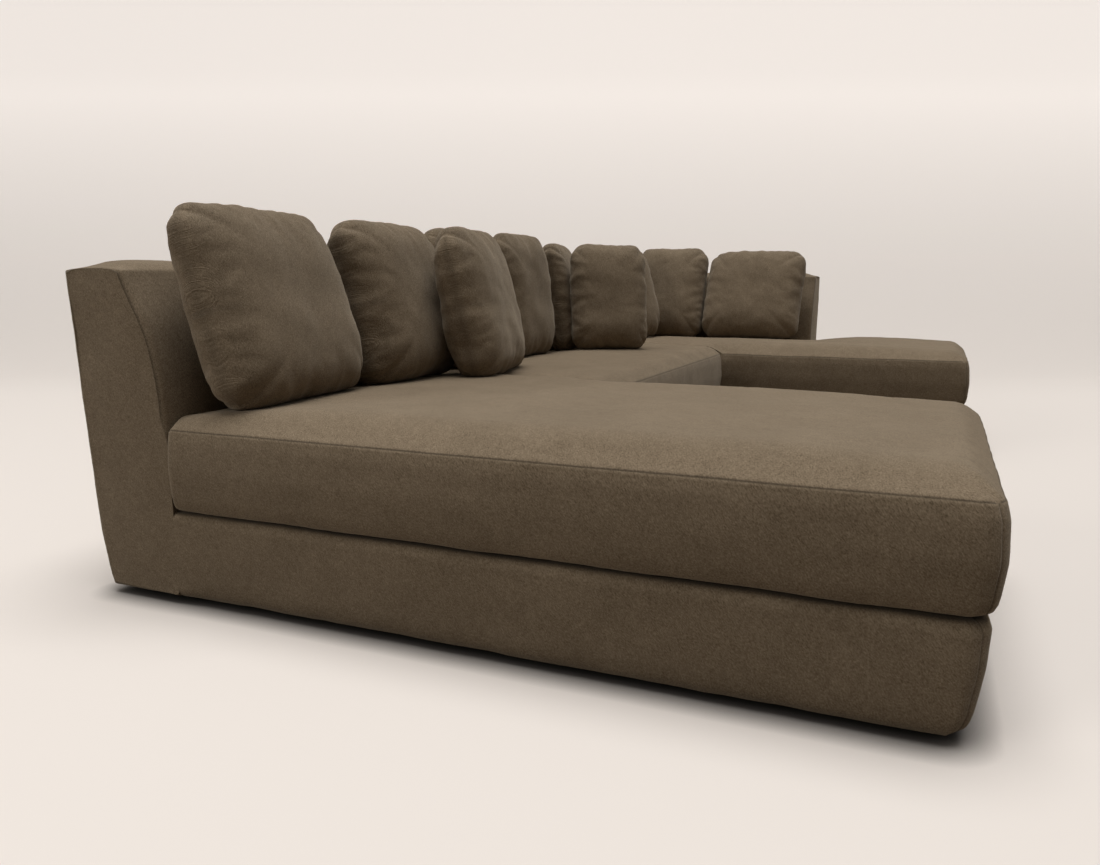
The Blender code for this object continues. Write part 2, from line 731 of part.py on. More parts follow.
def pull_out(facing, lean):
    """The way a cushion slides out, a little more upright than it leans."""
    slant = math.radians(lean - RELEASE_TURN)
    return (backwards(facing) * math.sin(slant) + Vector((0, 0, math.cos(slant)))) * LIFT


def build_chaise(collection, cutters, root, x):
    """Chaise: a long seat with a back across its rear."""
    section = new_empty("chaise_section", collection, root, (x, 0, 0))
    w, rear, front = CHAISE_WIDTH, -BACK_DEPTH_AT_SEAT, -CHAISE_LENGTH
    shoulder = -MIDDLE_DEPTH
    plan = Plan([(0, front, FRONT), (w, front, SIDE), (w, shoulder, JOINT), (w, rear, BACK),
                 (0, rear, SIDE)])
    build_base("chaise", plan, section, collection, cutters)
    seat = soft_block("chaise_seat_cushion", plan, SEAT_LOW, SEAM_HEIGHT, SEAT_TUCK, 0.34,
                      section, collection, crowned=True)
    out = Vector((0, 1))
    back = sweep_back("chaise_back_upholstery",
                      straight_stations(Vector((BACK_END_INSET, 0)), Vector((w - SECTION_GAP, 0)), out, 0.8,
                                        (True, False)),
                      (True, False), section, collection)
    frame, cutter = back_frame("chaise_back_frame", Vector((BACK_END_INSET + PADDING, 0)),
                               Vector((w - PADDING, 0)), out, section, collection, cutters)
    cut_away(back, cutter)
    ys = (-FOOT_INSET, front / 2, front + FOOT_INSET + FRONT_TUCK)
    add_feet("chaise", [(px, py) for py in ys for px in (FOOT_INSET, w - FOOT_INSET)], section, collection)
    return section, seat, back


def build_middle(collection, cutters, root, x):
    """Armless middle: a seat between the other two sections, with a back across its rear."""
    section = new_empty("middle_section", collection, root, (x, 0, 0))
    w, rear, front = MIDDLE_WIDTH, -BACK_DEPTH_AT_SEAT, -MIDDLE_DEPTH
    plan = Plan([(0, front, FRONT), (w, front, JOINT), (w, rear, BACK), (0, rear, JOINT)])
    build_base("middle", plan, section, collection, cutters)
    seat = soft_block("middle_seat_cushion", plan, SEAT_LOW, SEAM_HEIGHT, SEAT_TUCK, 0.34,
                      section, collection, crowned=True)
    out = Vector((0, 1))
    back = sweep_back("middle_back_upholstery",
                      straight_stations(Vector((0, 0)), Vector((w - SECTION_GAP, 0)), out, 0.8,
                                        (False, False)),
                      (False, False), section, collection)
    frame, cutter = back_frame("middle_back_frame", Vector((PADDING, 0)), Vector((w - PADDING, 0)), out,
                               section, collection, cutters)
    cut_away(back, cutter)
    ys = (-FOOT_INSET, front + FOOT_INSET + FRONT_TUCK)
    add_feet("middle", [(px, py) for py in ys for px in (FOOT_INSET, w - FOOT_INSET)], section, collection)
    return section, seat, back


def build_corner(collection, cutters, root, x):
    """Corner: a back round two sides, whose side run stops short of the seat's open end."""
    section = new_empty("corner_section", collection, root, (x, 0, 0))
    w, rear, front = CORNER_WIDTH, -BACK_DEPTH_AT_SEAT, -CORNER_LENGTH
    inner, end = w - BACK_DEPTH_AT_SEAT, -SIDE_BACK_LENGTH
    plan = Plan([(0, front, FRONT), (w, front, SIDE), (w, end, BACK), (inner, end, BACK),
                 (inner, rear, BACK), (0, rear, JOINT), (0, -MIDDLE_DEPTH, SIDE)], notch_y=end)
    build_base("corner", plan, section, collection, cutters, notch=(inner, end))
    seat = soft_block("corner_seat_cushion", plan, SEAT_LOW, SEAM_HEIGHT, SEAT_TUCK, 0.34,
                      section, collection, crowned=True)
    out, side = Vector((0, 1)), Vector((1, 0))
    rear_run = [(Vector((0, 0)), out)]
    back_end = end + BACK_END_SWELL + PIECE_GAP
    side_run = straight_stations(Vector((w, 0)), Vector((w, back_end)), side, 0.8, (False, True))[1:]
    turn = [(Vector((w, 0)), out + side)]
    inner_step = BACK_DEPTH_AT_SEAT
    rear_run.append((Vector((w - inner_step - CORNER_LOOP, 0)), out))
    side_run = [s for s in side_run if s[0].y < -inner_step - CORNER_LOOP * 1.5]
    side_run.insert(0, (Vector((w, -inner_step - CORNER_LOOP)), side))
    back = sweep_back("corner_back_upholstery", rear_run + turn + side_run, (False, True),
                      section, collection)
    rear_frame, rear_cutter = back_frame("corner_rear_back_frame", Vector((PADDING, 0)),
                                         Vector((w - BACK_DEPTH_AT_SEAT, 0)), out,
                                         section, collection, cutters)
    side_frame, side_cutter = back_frame("corner_side_back_frame", Vector((w, -PADDING)),
                                         Vector((w, back_end + PADDING)), side,
                                         section, collection, cutters)
    cut_away(back, rear_cutter)
    cut_away(back, side_cutter)
    ys = (-FOOT_INSET, front / 2, front + FOOT_INSET + FRONT_TUCK)
    places = [(px, py) for py in ys for px in (FOOT_INSET, w - FOOT_INSET)]
    add_feet("corner", places, section, collection)
    return section, seat, back


def build_cushions(collection, root, seats, backs, middle_x, corner_x):
    """Ten loose cushions: a row along the backs, and two thrown in front of it."""
    row_y = -BACK_DEPTH_AT_SEAT - STAND_OFF
    side_x = corner_x + CORNER_WIDTH - BACK_DEPTH_AT_SEAT - STAND_OFF
    runs = {
        "chaise": (0, CHAISE_WIDTH),
        "middle": (middle_x, MIDDLE_WIDTH),
        "corner": (corner_x, CORNER_WIDTH),
    }
    sweep = {}
    for name, (run, along, wide, facing, lean) in ROW_SHARES.items():
        if run == "side":
            length, place = SIDE_BACK_LENGTH, (side_x, -along * SIDE_BACK_LENGTH)
        else:
            start, length = runs[run]
            place = (start + along * length, row_y)
        size = (wide * length, *CUSHION_SIZES[name])
        obj = stand_cushion(name, place, facing, lean, size, root, collection)
        settle(obj, seats, backs, backwards(round(facing / 90) * 90), REST_GAP)
        sweep[obj] = pull_out(facing, lean)
    behind = backs + obstacles(sweep, sweep)
    for name, (along, across, wide, facing, lean) in THROWN_SHARES.items():
        place = (middle_x + along * MIDDLE_WIDTH, -across * MIDDLE_DEPTH)
        size = (wide * MIDDLE_WIDTH, *CUSHION_SIZES[name])
        obj = stand_cushion(name, place, facing, lean, size, root, collection)
        obj.location -= backwards(facing) * THROW_RUN
        settle(obj, seats, behind, backwards(facing), SWEEP_GAP)


def centre_on_floor(root, collection):
    """Moves the whole sofa so that the origin is under the middle of its plan."""
    bpy.context.view_layer.update()
    low, high = Vector((9, 9, 9)), Vector((-9, -9, -9))
    for obj in collection.objects:
        if obj.type != "MESH":
            continue
        bm = world_bmesh(obj)
        for vert in bm.verts:
            for axis in range(3):
                low[axis] = min(low[axis], vert.co[axis])
                high[axis] = max(high[axis], vert.co[axis])
        bm.free()
    root.location.x -= (low.x + high.x) / 2
    root.location.y -= (low.y + high.y) / 2
    bpy.context.view_layer.update()


def main():
    """Builds the sofa."""
    clear_scene()
    collection = new_collection("u_shaped_sectional_sofa")
    cutters = new_collection("cutters")
    root = new_empty("sofa", collection)
    middle_x = CHAISE_WIDTH
    corner_x = CHAISE_WIDTH + MIDDLE_WIDTH
    sections = [
        build_chaise(collection, cutters, root, 0),
        build_middle(collection, cutters, root, middle_x),
        build_corner(collection, cutters, root, corner_x),
    ]
    for name, x in (("chaise", middle_x), ("corner", corner_x)):
        add_plate(name + "_joining_plate_rear", x, -BACK_DEPTH_AT_SEAT - PLATE_INSET, root, collection)
        add_plate(name + "_joining_plate_front", x, -MIDDLE_DEPTH + PLATE_INSET, root, collection)
    bpy.context.view_layer.update()
    seats = obstacles([section[1] for section in sections])
    backs = obstacles([section[2] for section in sections])
    build_cushions(collection, root, seats, backs, middle_x, corner_x)
    centre_on_floor(root, collection)


main()
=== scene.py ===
"""Looks of a u-shaped sectional sofa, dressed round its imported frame.

Metres, +Z up. The chaise is at -X, the corner section at +X, the backs at +Y, and the open side of
the U faces -Y. Each section's plan is drawn from its own rear left corner, and place moves it into
the model.
"""

import math
from collections import namedtuple

import bpy
import numpy as np
from mathutils import Matrix, Vector
from mathutils.bvhtree import BVHTree


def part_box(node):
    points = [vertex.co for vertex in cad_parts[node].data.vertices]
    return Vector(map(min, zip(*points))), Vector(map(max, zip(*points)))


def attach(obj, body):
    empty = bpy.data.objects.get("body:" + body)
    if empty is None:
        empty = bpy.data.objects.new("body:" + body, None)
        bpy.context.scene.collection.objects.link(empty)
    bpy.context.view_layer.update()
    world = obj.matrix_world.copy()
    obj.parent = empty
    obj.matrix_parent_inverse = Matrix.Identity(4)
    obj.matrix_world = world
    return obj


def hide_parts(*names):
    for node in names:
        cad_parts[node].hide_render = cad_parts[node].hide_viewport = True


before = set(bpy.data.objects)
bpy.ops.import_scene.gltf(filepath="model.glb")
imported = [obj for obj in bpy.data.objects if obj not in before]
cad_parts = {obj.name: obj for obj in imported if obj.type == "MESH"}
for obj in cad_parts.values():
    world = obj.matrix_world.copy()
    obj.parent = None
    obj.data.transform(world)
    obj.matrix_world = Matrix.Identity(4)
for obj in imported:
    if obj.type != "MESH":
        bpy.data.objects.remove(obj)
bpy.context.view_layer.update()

# Plan of the sections
CHAISE_WIDTH = 1.065
CHAISE_LENGTH = 1.995
MIDDLE_WIDTH = 1.624
MIDDLE_DEPTH = 0.943
CORNER_WIDTH = 0.950
CORNER_LENGTH = 2.020
SIDE_BACK_LENGTH = 1.262
SECTION_GAP = 0.0006
PIECE_GAP = 0.0003
BACK_DEPTH = 0.230
FOOT_INSET = 0.085

# Heights
BASE_LOW = 0.0176
BASE_HIGH = 0.2306
SEAT_LOW = 0.2309
SEAM_HEIGHT = 0.430
BACK_SEAM_HEIGHT = 0.798

# The camera, from the plan's corner
CAMERA_PLACE = (-1.482, -1.860, 0.7691)
CAMERA_YAW = 0.4104
CAMERA_PITCH = -0.170
CAMERA_LENS = 28.653

foot_low, foot_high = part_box("chaise_foot_1")
PLAN = Vector(((foot_low.x + foot_high.x) / 2 - FOOT_INSET, (foot_low.y + foot_high.y) / 2 + FOOT_INSET, 0))

# The waves of a random field, how far their lengths spread, and the first seed of each kind of piece
RIPPLE_COUNT = 16
RIPPLE_SPREAD = 0.45
SEAT_SEED, BASE_SEED, BACK_SEED, CUSHION_SEED = 10, 20, 40, 100


def smooth(x):
    """Eases from 0 to 1."""
    x = np.clip(x, 0, 1)
    return x * x * (3 - 2 * x)


def bump(x, width):
    """A soft bump of height 1 at 0."""
    return np.exp(-(x / width) ** 2)


def ripples(points, wavelength, seed):
    """A smooth random field over points, mostly between -1 and 1."""
    count, spread = RIPPLE_COUNT, RIPPLE_SPREAD
    rng = np.random.default_rng(seed)
    ways = rng.normal(size=(count, points.shape[1]))
    ways /= np.linalg.norm(ways, axis=1)[:, None]
    waves = 2 * math.pi / (wavelength * rng.uniform(1 - spread, 1 + spread, count))
    phase = rng.uniform(0, 2 * math.pi, count)
    return np.sin(points @ (ways * waves[:, None]).T + phase).sum(1) / math.sqrt(count)


class Shape:
    """Points and faces of one piece while it is drawn."""

    def __init__(self):
        self.points = []
        self.faces = []
        self.count = 0

    def add(self, points):
        """Adds points and returns their numbers."""
        points = np.asarray(points, float).reshape(-1, 3)
        numbers = np.arange(self.count, self.count + len(points))
        self.points.append(points)
        self.count += len(points)
        return numbers

    def bridge(self, first, second):
        """Joins two closed rows of as many points with four-sided faces."""
        for i in range(len(first)):
            j = (i + 1) % len(first)
            self.faces.append((first[i], first[j], second[j], second[i]))

    def grid(self, numbers):
        """Faces of a grid of point numbers."""
        rows, columns = numbers.shape
        for i in range(rows - 1):
            for j in range(columns - 1):
                corners = (numbers[i, j], numbers[i + 1, j], numbers[i + 1, j + 1], numbers[i, j + 1])
                self.faces.append(corners)

    def finish(self, name, sharp=None):
        """Makes the object, smooth apart from edges that turn by more than a number of degrees."""
        mesh = bpy.data.meshes.new(name)
        points = np.concatenate(self.points)
        mesh.from_pydata(points.tolist(), [], [tuple(int(v) for v in f) for f in self.faces])
        mesh.validate()
        mesh.shade_smooth()
        if sharp:
            mesh.set_sharp_from_angle(angle=math.radians(sharp))
        obj = bpy.data.objects.new(name, mesh)
        bpy.context.scene.collection.objects.link(obj)
        return obj


def read_points(obj):
    """An object's points as an array."""
    co = np.empty(len(obj.data.vertices) * 3)
    obj.data.vertices.foreach_get("co", co)
    return co.reshape(-1, 3)


def write_points(obj, points):
    """Sets an object's points."""
    obj.data.vertices.foreach_set("co", np.ascontiguousarray(points, float).ravel())
    obj.data.update()


def read_normals(obj):
    """An object's point normals as an array."""
    co = np.empty(len(obj.data.vertices) * 3)
    obj.data.vertices.foreach_get("normal", co)
    return co.reshape(-1, 3)


def mark(obj, name, values):
    """Stores a number at each point of an object, for its material."""
    layer = obj.data.attributes.new(name, "FLOAT", "POINT")
    layer.data.foreach_set("value", np.ascontiguousarray(values, np.float32))


# The kinds of side that a section's plan has
FRONT, SIDE, JOINT, BACK = "front", "side", "joint", "back"

# The crown of the seats, and how far it drops toward each kind of side and over what run
SEAT_CROWN = 0.054
CROWN_EDGES = {
    FRONT: (SEAT_CROWN, 0.080), SIDE: (SEAT_CROWN, 0.14), JOINT: (0.020, 0.10), BACK: (0.030, 0.40),
}
CROWN_BLEND = 5
FRONT_FALL = 0.24
FRONT_FALL_REACH = 0.55

# How far each kind of side is drawn in, by the share of its block's height
SEAT_TUCK = {
    FRONT: ((0, 0.032), (0.02, 0.020), (0.05, 0.012), (0.14, 0.004), (0.5, -0.002), (0.85, 0.002),
            (1, 0.009)),
    SIDE: ((0, 0.030), (0.02, 0.018), (0.05, 0.011), (0.14, 0.004), (0.5, -0.002), (0.85, 0.002),
           (1, 0.009)),
    JOINT: ((0, 0.008), (0.08, 0.001), (0.8, 0), (1, 0.006)),
    BACK: ((0, PIECE_GAP), (1, PIECE_GAP)),
}
BASE_TUCK = {
    FRONT: ((0, 0.050), (0.06, 0.037), (0.16, 0.028), (0.6, 0.016), (0.9, 0.013), (0.97, 0.020),
            (1, 0.038)),
    SIDE: ((0, 0.031), (0.06, 0.021), (0.16, 0.016), (0.6, 0.012), (0.9, 0.012), (0.97, 0.019),
           (1, 0.036)),
    JOINT: ((0, 0.008), (0.08, 0.001), (0.9, 0), (1, 0.005)),
    BACK: ((0, PIECE_GAP), (1, PIECE_GAP)),
}
UNDERSIDE_TUCK = 0.012
TUCK_REACH = 0.09

# The chaise base's side where it runs up to the panel of the back
PANEL_TUCK = ((0, 0.026), (0.03, 0.017), (0.075, 0.012), (0.95, 0.012), (0.98, 0.019), (1, 0.034))
PANEL_START = 0.10
PANEL_RUN = 0.09

# A free side of a seat where it meets the back
END_RADIUS = 0.018
END_FALL = 0.75
END_FALL_REACH = 0.035

# The grid of a block, with lines close together beside its edges
FINE = (0.0035, 0.0085, 0.016, 0.025, 0.036, 0.050)
BLOCK_PITCH = 0.019
CORNER_RADIUS = 0.045
WALL_TOP_DROPS = (0.0035, 0.008, 0.014, 0.022, 0.032)
WALL_MIDDLE_END = 0.12
WALL_FOOT_SHARES = (0.085, 0.055, 0.033, 0.016, 0.005, 0.0)
SHARP_ANGLE = 38

# Seams, as depths in metres and as shares of the painted shade that the fabric gives their grooves
SEAM_DEPTH = 0.0022
CORNER_SEAM_DEPTH = 0.0016
CORNER_SEAM_SHADE = 0.55
SEAT_SEAM_SHADE = 0.8
BASE_SEAM_SHADE = 0.9
BACK_SEAM_SHADE = 0.75


def grid_lines(stops, pitch):
    """Grid lines between stops, close together beside each stop."""
    lines = [stops[0]]
    for low, high in zip(stops, stops[1:]):
        near = [f for f in FINE if f < (high - low) * 0.3]
        inner_low, inner_high = low + near[-1], high - near[-1]
        count = max(1, math.ceil((inner_high - inner_low) / pitch))
        lines += [low + f for f in near[:-1]]
        lines += list(np.linspace(inner_low, inner_high, count + 1))
        lines += [high - f for f in reversed(near[:-1])]
        lines.append(high)
    return np.array(lines)


Side = namedtuple("Side", "start along inward length kind")


class Plan:
    """A section's plan outline, drawn anticlockwise, with the kind of each side.

    A notch is the corner that the side back takes up. Flush is the line near which the free sides
    pass into the panel of the back.
    """

    def __init__(self, corners, notch=None, flush=None):
        self.corners = np.array([c[:2] for c in corners], float)
        self.kinds = [c[2] for c in corners]
        self.notch = notch
        self.flush = flush

    def sides(self):
        """Start, direction, inward direction, length and kind of each side."""
        count = len(self.corners)
        for i in range(count):
            start, end = self.corners[i], self.corners[(i + 1) % count]
            length = np.linalg.norm(end - start)
            along = (end - start) / length
            yield Side(start, along, np.array([-along[1], along[0]]), length, self.kinds[i])

    def distances(self, points):
        """Distance of each point to each side."""
        found = []
        for side in self.sides():
            reach = np.clip((points - side.start) @ side.along, 0, side.length)
            found.append(np.linalg.norm(points - side.start - reach[:, None] * side.along, axis=1))
        return np.array(found)

    def free_corner(self, point):
        """Whether a point is a corner between two free sides."""
        for i, corner in enumerate(self.corners):
            if {self.kinds[i], self.kinds[i - 1]} <= {FRONT, SIDE} and np.abs(point - corner).max() < 1e-6:
                return True
        return False

    def end_round(self, i, points):
        """How far a side turns in where it meets the back."""
        side = list(self.sides())[i]
        radius = END_RADIUS
        reach = (points - side.start) @ side.along
        near = np.full(len(points), radius)
        if self.kinds[i - 1] == BACK:
            near = np.minimum(near, reach)
        if self.kinds[(i + 1) % len(self.kinds)] == BACK:
            near = np.minimum(near, side.length - reach)
        near = np.clip(near, 0, radius)
        return radius - np.sqrt(np.maximum(radius ** 2 - (radius - near) ** 2, 0))

    def end_fall(self, points):
        """How far a seat's top edge comes down where a free side meets the back."""
        fall = np.zeros(len(points))
        for i, away in enumerate(self.distances(points)):
            if self.kinds[i] == SIDE:
                fall += END_FALL * self.end_round(i, points) * smooth(1 - away / END_FALL_REACH)
        return fall

    def round_corners(self, points):
        """Bends the free corners of a grid into arcs."""
        radius = CORNER_RADIUS
        points = points.copy()
        count = len(self.corners)
        for i, corner in enumerate(self.corners):
            kinds = {self.kinds[i], self.kinds[i - 1]}
            if not kinds <= {FRONT, SIDE}:
                continue
            after = self.corners[(i + 1) % count] - corner
            before = self.corners[i - 1] - corner
            sign = np.sign(after + before)
            local = (points - corner) * sign
            near = (local[:, 0] < radius) & (local[:, 1] < radius) & (local.min(1) > -1e-6)
            q = 1 - local[near] / radius
            length = np.maximum(np.linalg.norm(q, axis=1), 1e-9)
            q = q * (q.max(1) / length)[:, None]
            points[near] = corner + (1 - q) * radius * sign
        return points


def read_steps(steps, share):
    """Reads the value at a share from (share, value) steps, with straight runs between them."""
    return np.interp(share, [s[0] for s in steps], [s[1] for s in steps])


def crown(plan, points):
    """How far a seat's top stands above its seam at points of the plan."""
    total = np.zeros(len(points))
    for side, away in zip(plan.sides(), plan.distances(points)):
        drop, run = CROWN_EDGES[side.kind]
        total += (drop * (1 - np.sin(np.clip(away / run, 0, 1) * math.pi / 2))) ** CROWN_BLEND
    rise = SEAT_CROWN - total ** (1 / CROWN_BLEND)
    fronts = np.array([kind == FRONT for kind in plan.kinds])
    ahead = plan.distances(points)[fronts].min(0)
    return rise * (1 - FRONT_FALL * smooth(1 - ahead / FRONT_FALL_REACH))


def fold_in(plan, points, rest, steps, share):
    """Draws the sides of a block in, by the share of its height."""
    away = plan.distances(rest)
    moved = points.copy()
    for i, (side, distance) in enumerate(zip(plan.sides(), away)):
        amount = read_steps(steps[side.kind], share)
        if steps is SEAT_TUCK and side.kind == SIDE:
            amount = amount + plan.end_round(i, rest)
        if plan.flush and side.kind == SIDE:
            flat = smooth((rest[:, 1] - plan.flush + PANEL_START) / PANEL_RUN)
            amount = amount * (1 - flat) + read_steps(PANEL_TUCK, share) * flat
        moved += side.inward * (amount * smooth(1 - distance / TUCK_REACH))[:, None]
    return moved


def kept_squares(plan, xs, ys):
    """Which squares of a grid lie in a plan, and which of its points they use."""
    mid_x, mid_y = (xs[:-1] + xs[1:]) / 2, (ys[:-1] + ys[1:]) / 2
    keep = np.ones((len(mid_x), len(mid_y)), bool)
    if plan.notch:
        keep = ~((mid_x > plan.notch[0])[:, None] & (mid_y > plan.notch[1])[None, :])
    used = np.zeros((len(xs), len(ys)), bool)
    for i in (0, 1):
        for j in (0, 1):
            used[i:len(mid_x) + i, j:len(mid_y) + j] |= keep
    return keep, used


def top_faces(grid, keep):
    """The faces of a grid's kept squares, and the points round their edge in order."""
    faces, edges = [], {}
    for i, j in zip(*np.nonzero(keep)):
        loop = (grid[i, j], grid[i + 1, j], grid[i + 1, j + 1], grid[i, j + 1])
        faces.append(loop)
        edges.update(dict.fromkeys(zip(loop, loop[1:] + loop[:1])))
    following = {a: b for a, b in edges if (b, a) not in edges}
    ring = [next(iter(following))]
    while following[ring[-1]] != ring[0]:
        ring.append(following[ring[-1]])
    return faces, np.array(ring)


def press_seams(obj, seam_and_shade, upright, crowned):
    """Presses a block's seams into its surface: up its free corners, and on a seat round its top."""
    points, normals = read_points(obj), read_normals(obj)
    points[upright] -= normals[upright] * CORNER_SEAM_DEPTH
    write_points(obj, points)
    if crowned:
        points, normals = read_points(obj), read_normals(obj)
        write_points(obj, points - normals * (seam_and_shade * SEAM_DEPTH)[:, None])


def soft_block(name, plan, low, high, steps, crowned):
    """An upholstered block: a crowned or flat top, walls that bulge, and a flat underside."""
    xs = grid_lines(sorted(set(plan.corners[:, 0])), BLOCK_PITCH)
    ys = grid_lines(sorted(set(plan.corners[:, 1])), BLOCK_PITCH)
    across, along = np.meshgrid(xs, ys, indexing="ij")
    rest = np.stack([across.ravel(), along.ravel()], 1)
    keep, used = kept_squares(plan, xs, ys)
    plan_points = plan.round_corners(rest)
    number = -np.ones(len(rest), int)
    number[used.ravel()] = np.arange(used.sum())
    flat = np.nonzero(used.ravel())[0]
    shape = Shape()
    top = fold_in(plan, plan_points[flat], rest[flat], steps, 1.0)
    if crowned:
        height = high + crown(plan, rest[flat]) - plan.end_fall(rest[flat])
    else:
        height = np.full(len(flat), high)
    shape.add(np.column_stack([top, height]))
    faces, ring = top_faces(number.reshape(len(xs), len(ys)), keep)
    shape.faces += faces
    rest_ring, plan_ring = rest[flat][ring], plan_points[flat][ring]
    shares = [1 - drop / (high - low) for drop in WALL_TOP_DROPS]
    shares += list(np.linspace(shares[-1], WALL_MIDDLE_END, 9)[1:])
    shares += WALL_FOOT_SHARES
    columns = [k for k, point in enumerate(rest_ring) if plan.free_corner(point)]
    upright = []
    fall = plan.end_fall(rest_ring) if crowned else np.zeros(len(ring))
    first = last = ring
    for share in shares:
        row = fold_in(plan, plan_ring, rest_ring, steps, share)
        level = low + (high - low) * share - fall * smooth(share * 2 - 1)
        numbers = shape.add(np.column_stack([row, level]))
        shape.bridge(numbers, last)
        first = numbers if last is ring else first
        last = numbers
        upright.extend(numbers[columns])
    row = fold_in(plan, plan_ring, rest_ring, steps, 0.0)
    row = fold_in(plan, row, rest_ring, {kind: ((0, UNDERSIDE_TUCK),) * 2 for kind in steps}, 0.0)
    numbers = shape.add(np.column_stack([row, np.full(len(row), low)]))
    shape.bridge(numbers, last)
    shape.faces.append(tuple(numbers[::-1]))
    obj = shape.finish(name, SHARP_ANGLE)
    # The seam mark is painted shade: along the top and corner seams, and as a painted shadow in the gap
    # between a seat's underside and its base's top row.
    away = plan.distances(rest_ring)
    shown = np.array([kind in (FRONT, SIDE) for kind in plan.kinds])[away.argmin(0)]
    seam_and_shade = np.zeros(len(obj.data.vertices))
    seam_and_shade[ring] = shown
    seam_and_shade[upright] = CORNER_SEAM_SHADE
    press_seams(obj, seam_and_shade, upright, crowned)
    if crowned:
        seam_and_shade[ring] = SEAT_SEAM_SHADE * shown
        seam_and_shade[last], seam_and_shade[numbers] = shown, shown
    else:
        seam_and_shade[first] = BASE_SEAM_SHADE * shown
    mark(obj, "seam_and_shade", seam_and_shade)
    return obj


def place(obj, shift):
    """Moves an object's points from its section's plan into the model."""
    write_points(obj, read_points(obj) + np.array(PLAN) + np.array((shift, 0, 0)))


def creased(profile, sharp):
    """Rounds a closed outline by subdivision, with its sharp points less rounded."""
    points = np.array(profile, float)
    hard = np.zeros(len(points))
    for i, amount in sharp.items():
        hard[i] = amount
    tags = np.arange(len(points))
    for level in range(CREASE_LEVELS):
        before, after = np.roll(points, 1, 0), np.roll(points, -1, 0)
        soft = before / 8 + points * 0.75 + after / 8
        weight = np.clip(hard, 0, 1)[:, None]
        kept = points * weight + soft * (1 - weight)
        middles = (points + after) / 2
        points = np.stack([kept, middles], 1).reshape(-1, points.shape[1])
        hard = np.stack([np.maximum(hard - 1, 0), np.zeros(len(hard))], 1).ravel()
        tags = np.stack([tags, -np.ones(len(tags), int)], 1).ravel()
    return points, tags


# The cross-section of the backs, how sharp its corners are, and how it ends
CREASE_LEVELS = 4
LOWER_CREASE = 3.6
UPPER_CREASE = 2.5
BACK_TOP_DEPTH = 0.192
BACK_OVERHANG = 0.068
BACK_OUTER_BULGE = ((0, -0.012), (0.05, 0.006), (0.45, 0.010), (0.92, 0.003), (1, 0))
BACK_INNER_BULGE = ((1, 0), (0.88, 0.004), (0.56, 0.036), (0.22, 0.020), (0.06, 0.002))
BACK_TOP_CROWN = 0.026
BACK_END_CROWN = 0.25
BACK_END_CROWN_RUN = 0.09
BACK_END_RADIUS = 0.014
BACK_END_INSET = 0.012
BACK_END_SWELL = 0.004
BACK_FINE = (0.003, 0.007, 0.013, 0.021, 0.031)
BACK_PITCH = 0.021
BACK_ROWS = 42
BACK_COLUMNS = 18


def resample(points, count):
    """Points along a line, close together beside its ends."""
    steps = np.linalg.norm(np.diff(points, axis=0), axis=1)
    reach = np.concatenate([[0], np.cumsum(steps)])
    length = reach[-1]
    *near, inner = BACK_FINE
    middle = np.linspace(inner, length - inner, count - 2 * len(near) - 1)
    places = [0, *near, *middle, *(length - n for n in reversed(near)), length]
    return np.stack([np.interp(places, reach, points[:, i]) for i in range(points.shape[1])], 1)


def back_outline():
    """The back's cross-section: outer side, crown, inner side and underside, each as a line."""
    low, top = BASE_LOW, BACK_SEAM_HEIGHT
    outer = [(BACK_OVERHANG * s + bulge, low + (top - low) * s) for s, bulge in BACK_OUTER_BULGE]
    cap = [(BACK_OVERHANG - BACK_TOP_DEPTH * s, top + BACK_TOP_CROWN) for s in (0.25, 0.75)]
    slope = BACK_OVERHANG - BACK_TOP_DEPTH + BACK_DEPTH
    inner = [(-BACK_DEPTH + slope * s - bulge, SEAM_HEIGHT + (top - SEAM_HEIGHT) * s)
             for s, bulge in BACK_INNER_BULGE]
    lower = [(-BACK_DEPTH, h) for h in (SEAM_HEIGHT - 0.03, low + 0.03, low)]
    profile = outer + cap + inner + lower
    a, b, c = len(outer) - 1, len(outer) + len(cap), len(profile) - 1
    points, tags = creased(profile, {0: LOWER_CREASE, a: UPPER_CREASE, b: UPPER_CREASE, c: LOWER_CREASE})
    at = {tag: i for i, tag in enumerate(tags) if tag >= 0}
    closed = np.concatenate([points, points[:1]])
    lines = [closed[at[0]:at[a] + 1], closed[at[a]:at[b] + 1], closed[at[b]:at[c] + 1], closed[at[c]:]]
    return [resample(line, count) for line, count in zip(lines, (BACK_ROWS, BACK_COLUMNS) * 2)]


def facing_out(loop):
    """The outward direction at each point of a closed cross-section."""
    tangent = np.roll(loop, -1, 0) - np.roll(loop, 1, 0)
    tangent /= np.linalg.norm(tangent, axis=1)[:, None]
    outward = np.stack([-tangent[:, 1], tangent[:, 0]], 1)
    if ((loop - loop.mean(0)) * outward).sum() < 0:
        outward = -outward
    return outward


def rounded_share(loop):
    """How much a free end rounds at each point of the cross-section: not where it meets the seat."""
    above_seat = smooth((loop[:, 1] - SEAM_HEIGHT + 0.03) / 0.06)
    outer = smooth((loop[:, 0] + BACK_DEPTH * 0.5) / 0.1)
    underside = smooth((BASE_LOW + 0.01 - loop[:, 1]) / 0.01)
    return np.maximum(np.maximum(above_seat, outer), underside)


def section_near_end(loop, outward, rounded, near):
    """The cross-section at a distance from a free end, rounded in and with its crown lower there."""
    radius = BACK_END_RADIUS
    inset = 0.0
    if near < radius:
        inset = radius - math.sqrt(max(radius ** 2 - (radius - near) ** 2, 0))
    section = loop - outward * (inset * rounded)[:, None]
    swell = BACK_END_CROWN + (1 - BACK_END_CROWN) * float(smooth(near / BACK_END_CROWN_RUN))
    over = np.maximum(section[:, 1] - BACK_SEAM_HEIGHT, 0)
    section[:, 1] -= over * (1 - swell)
    return section


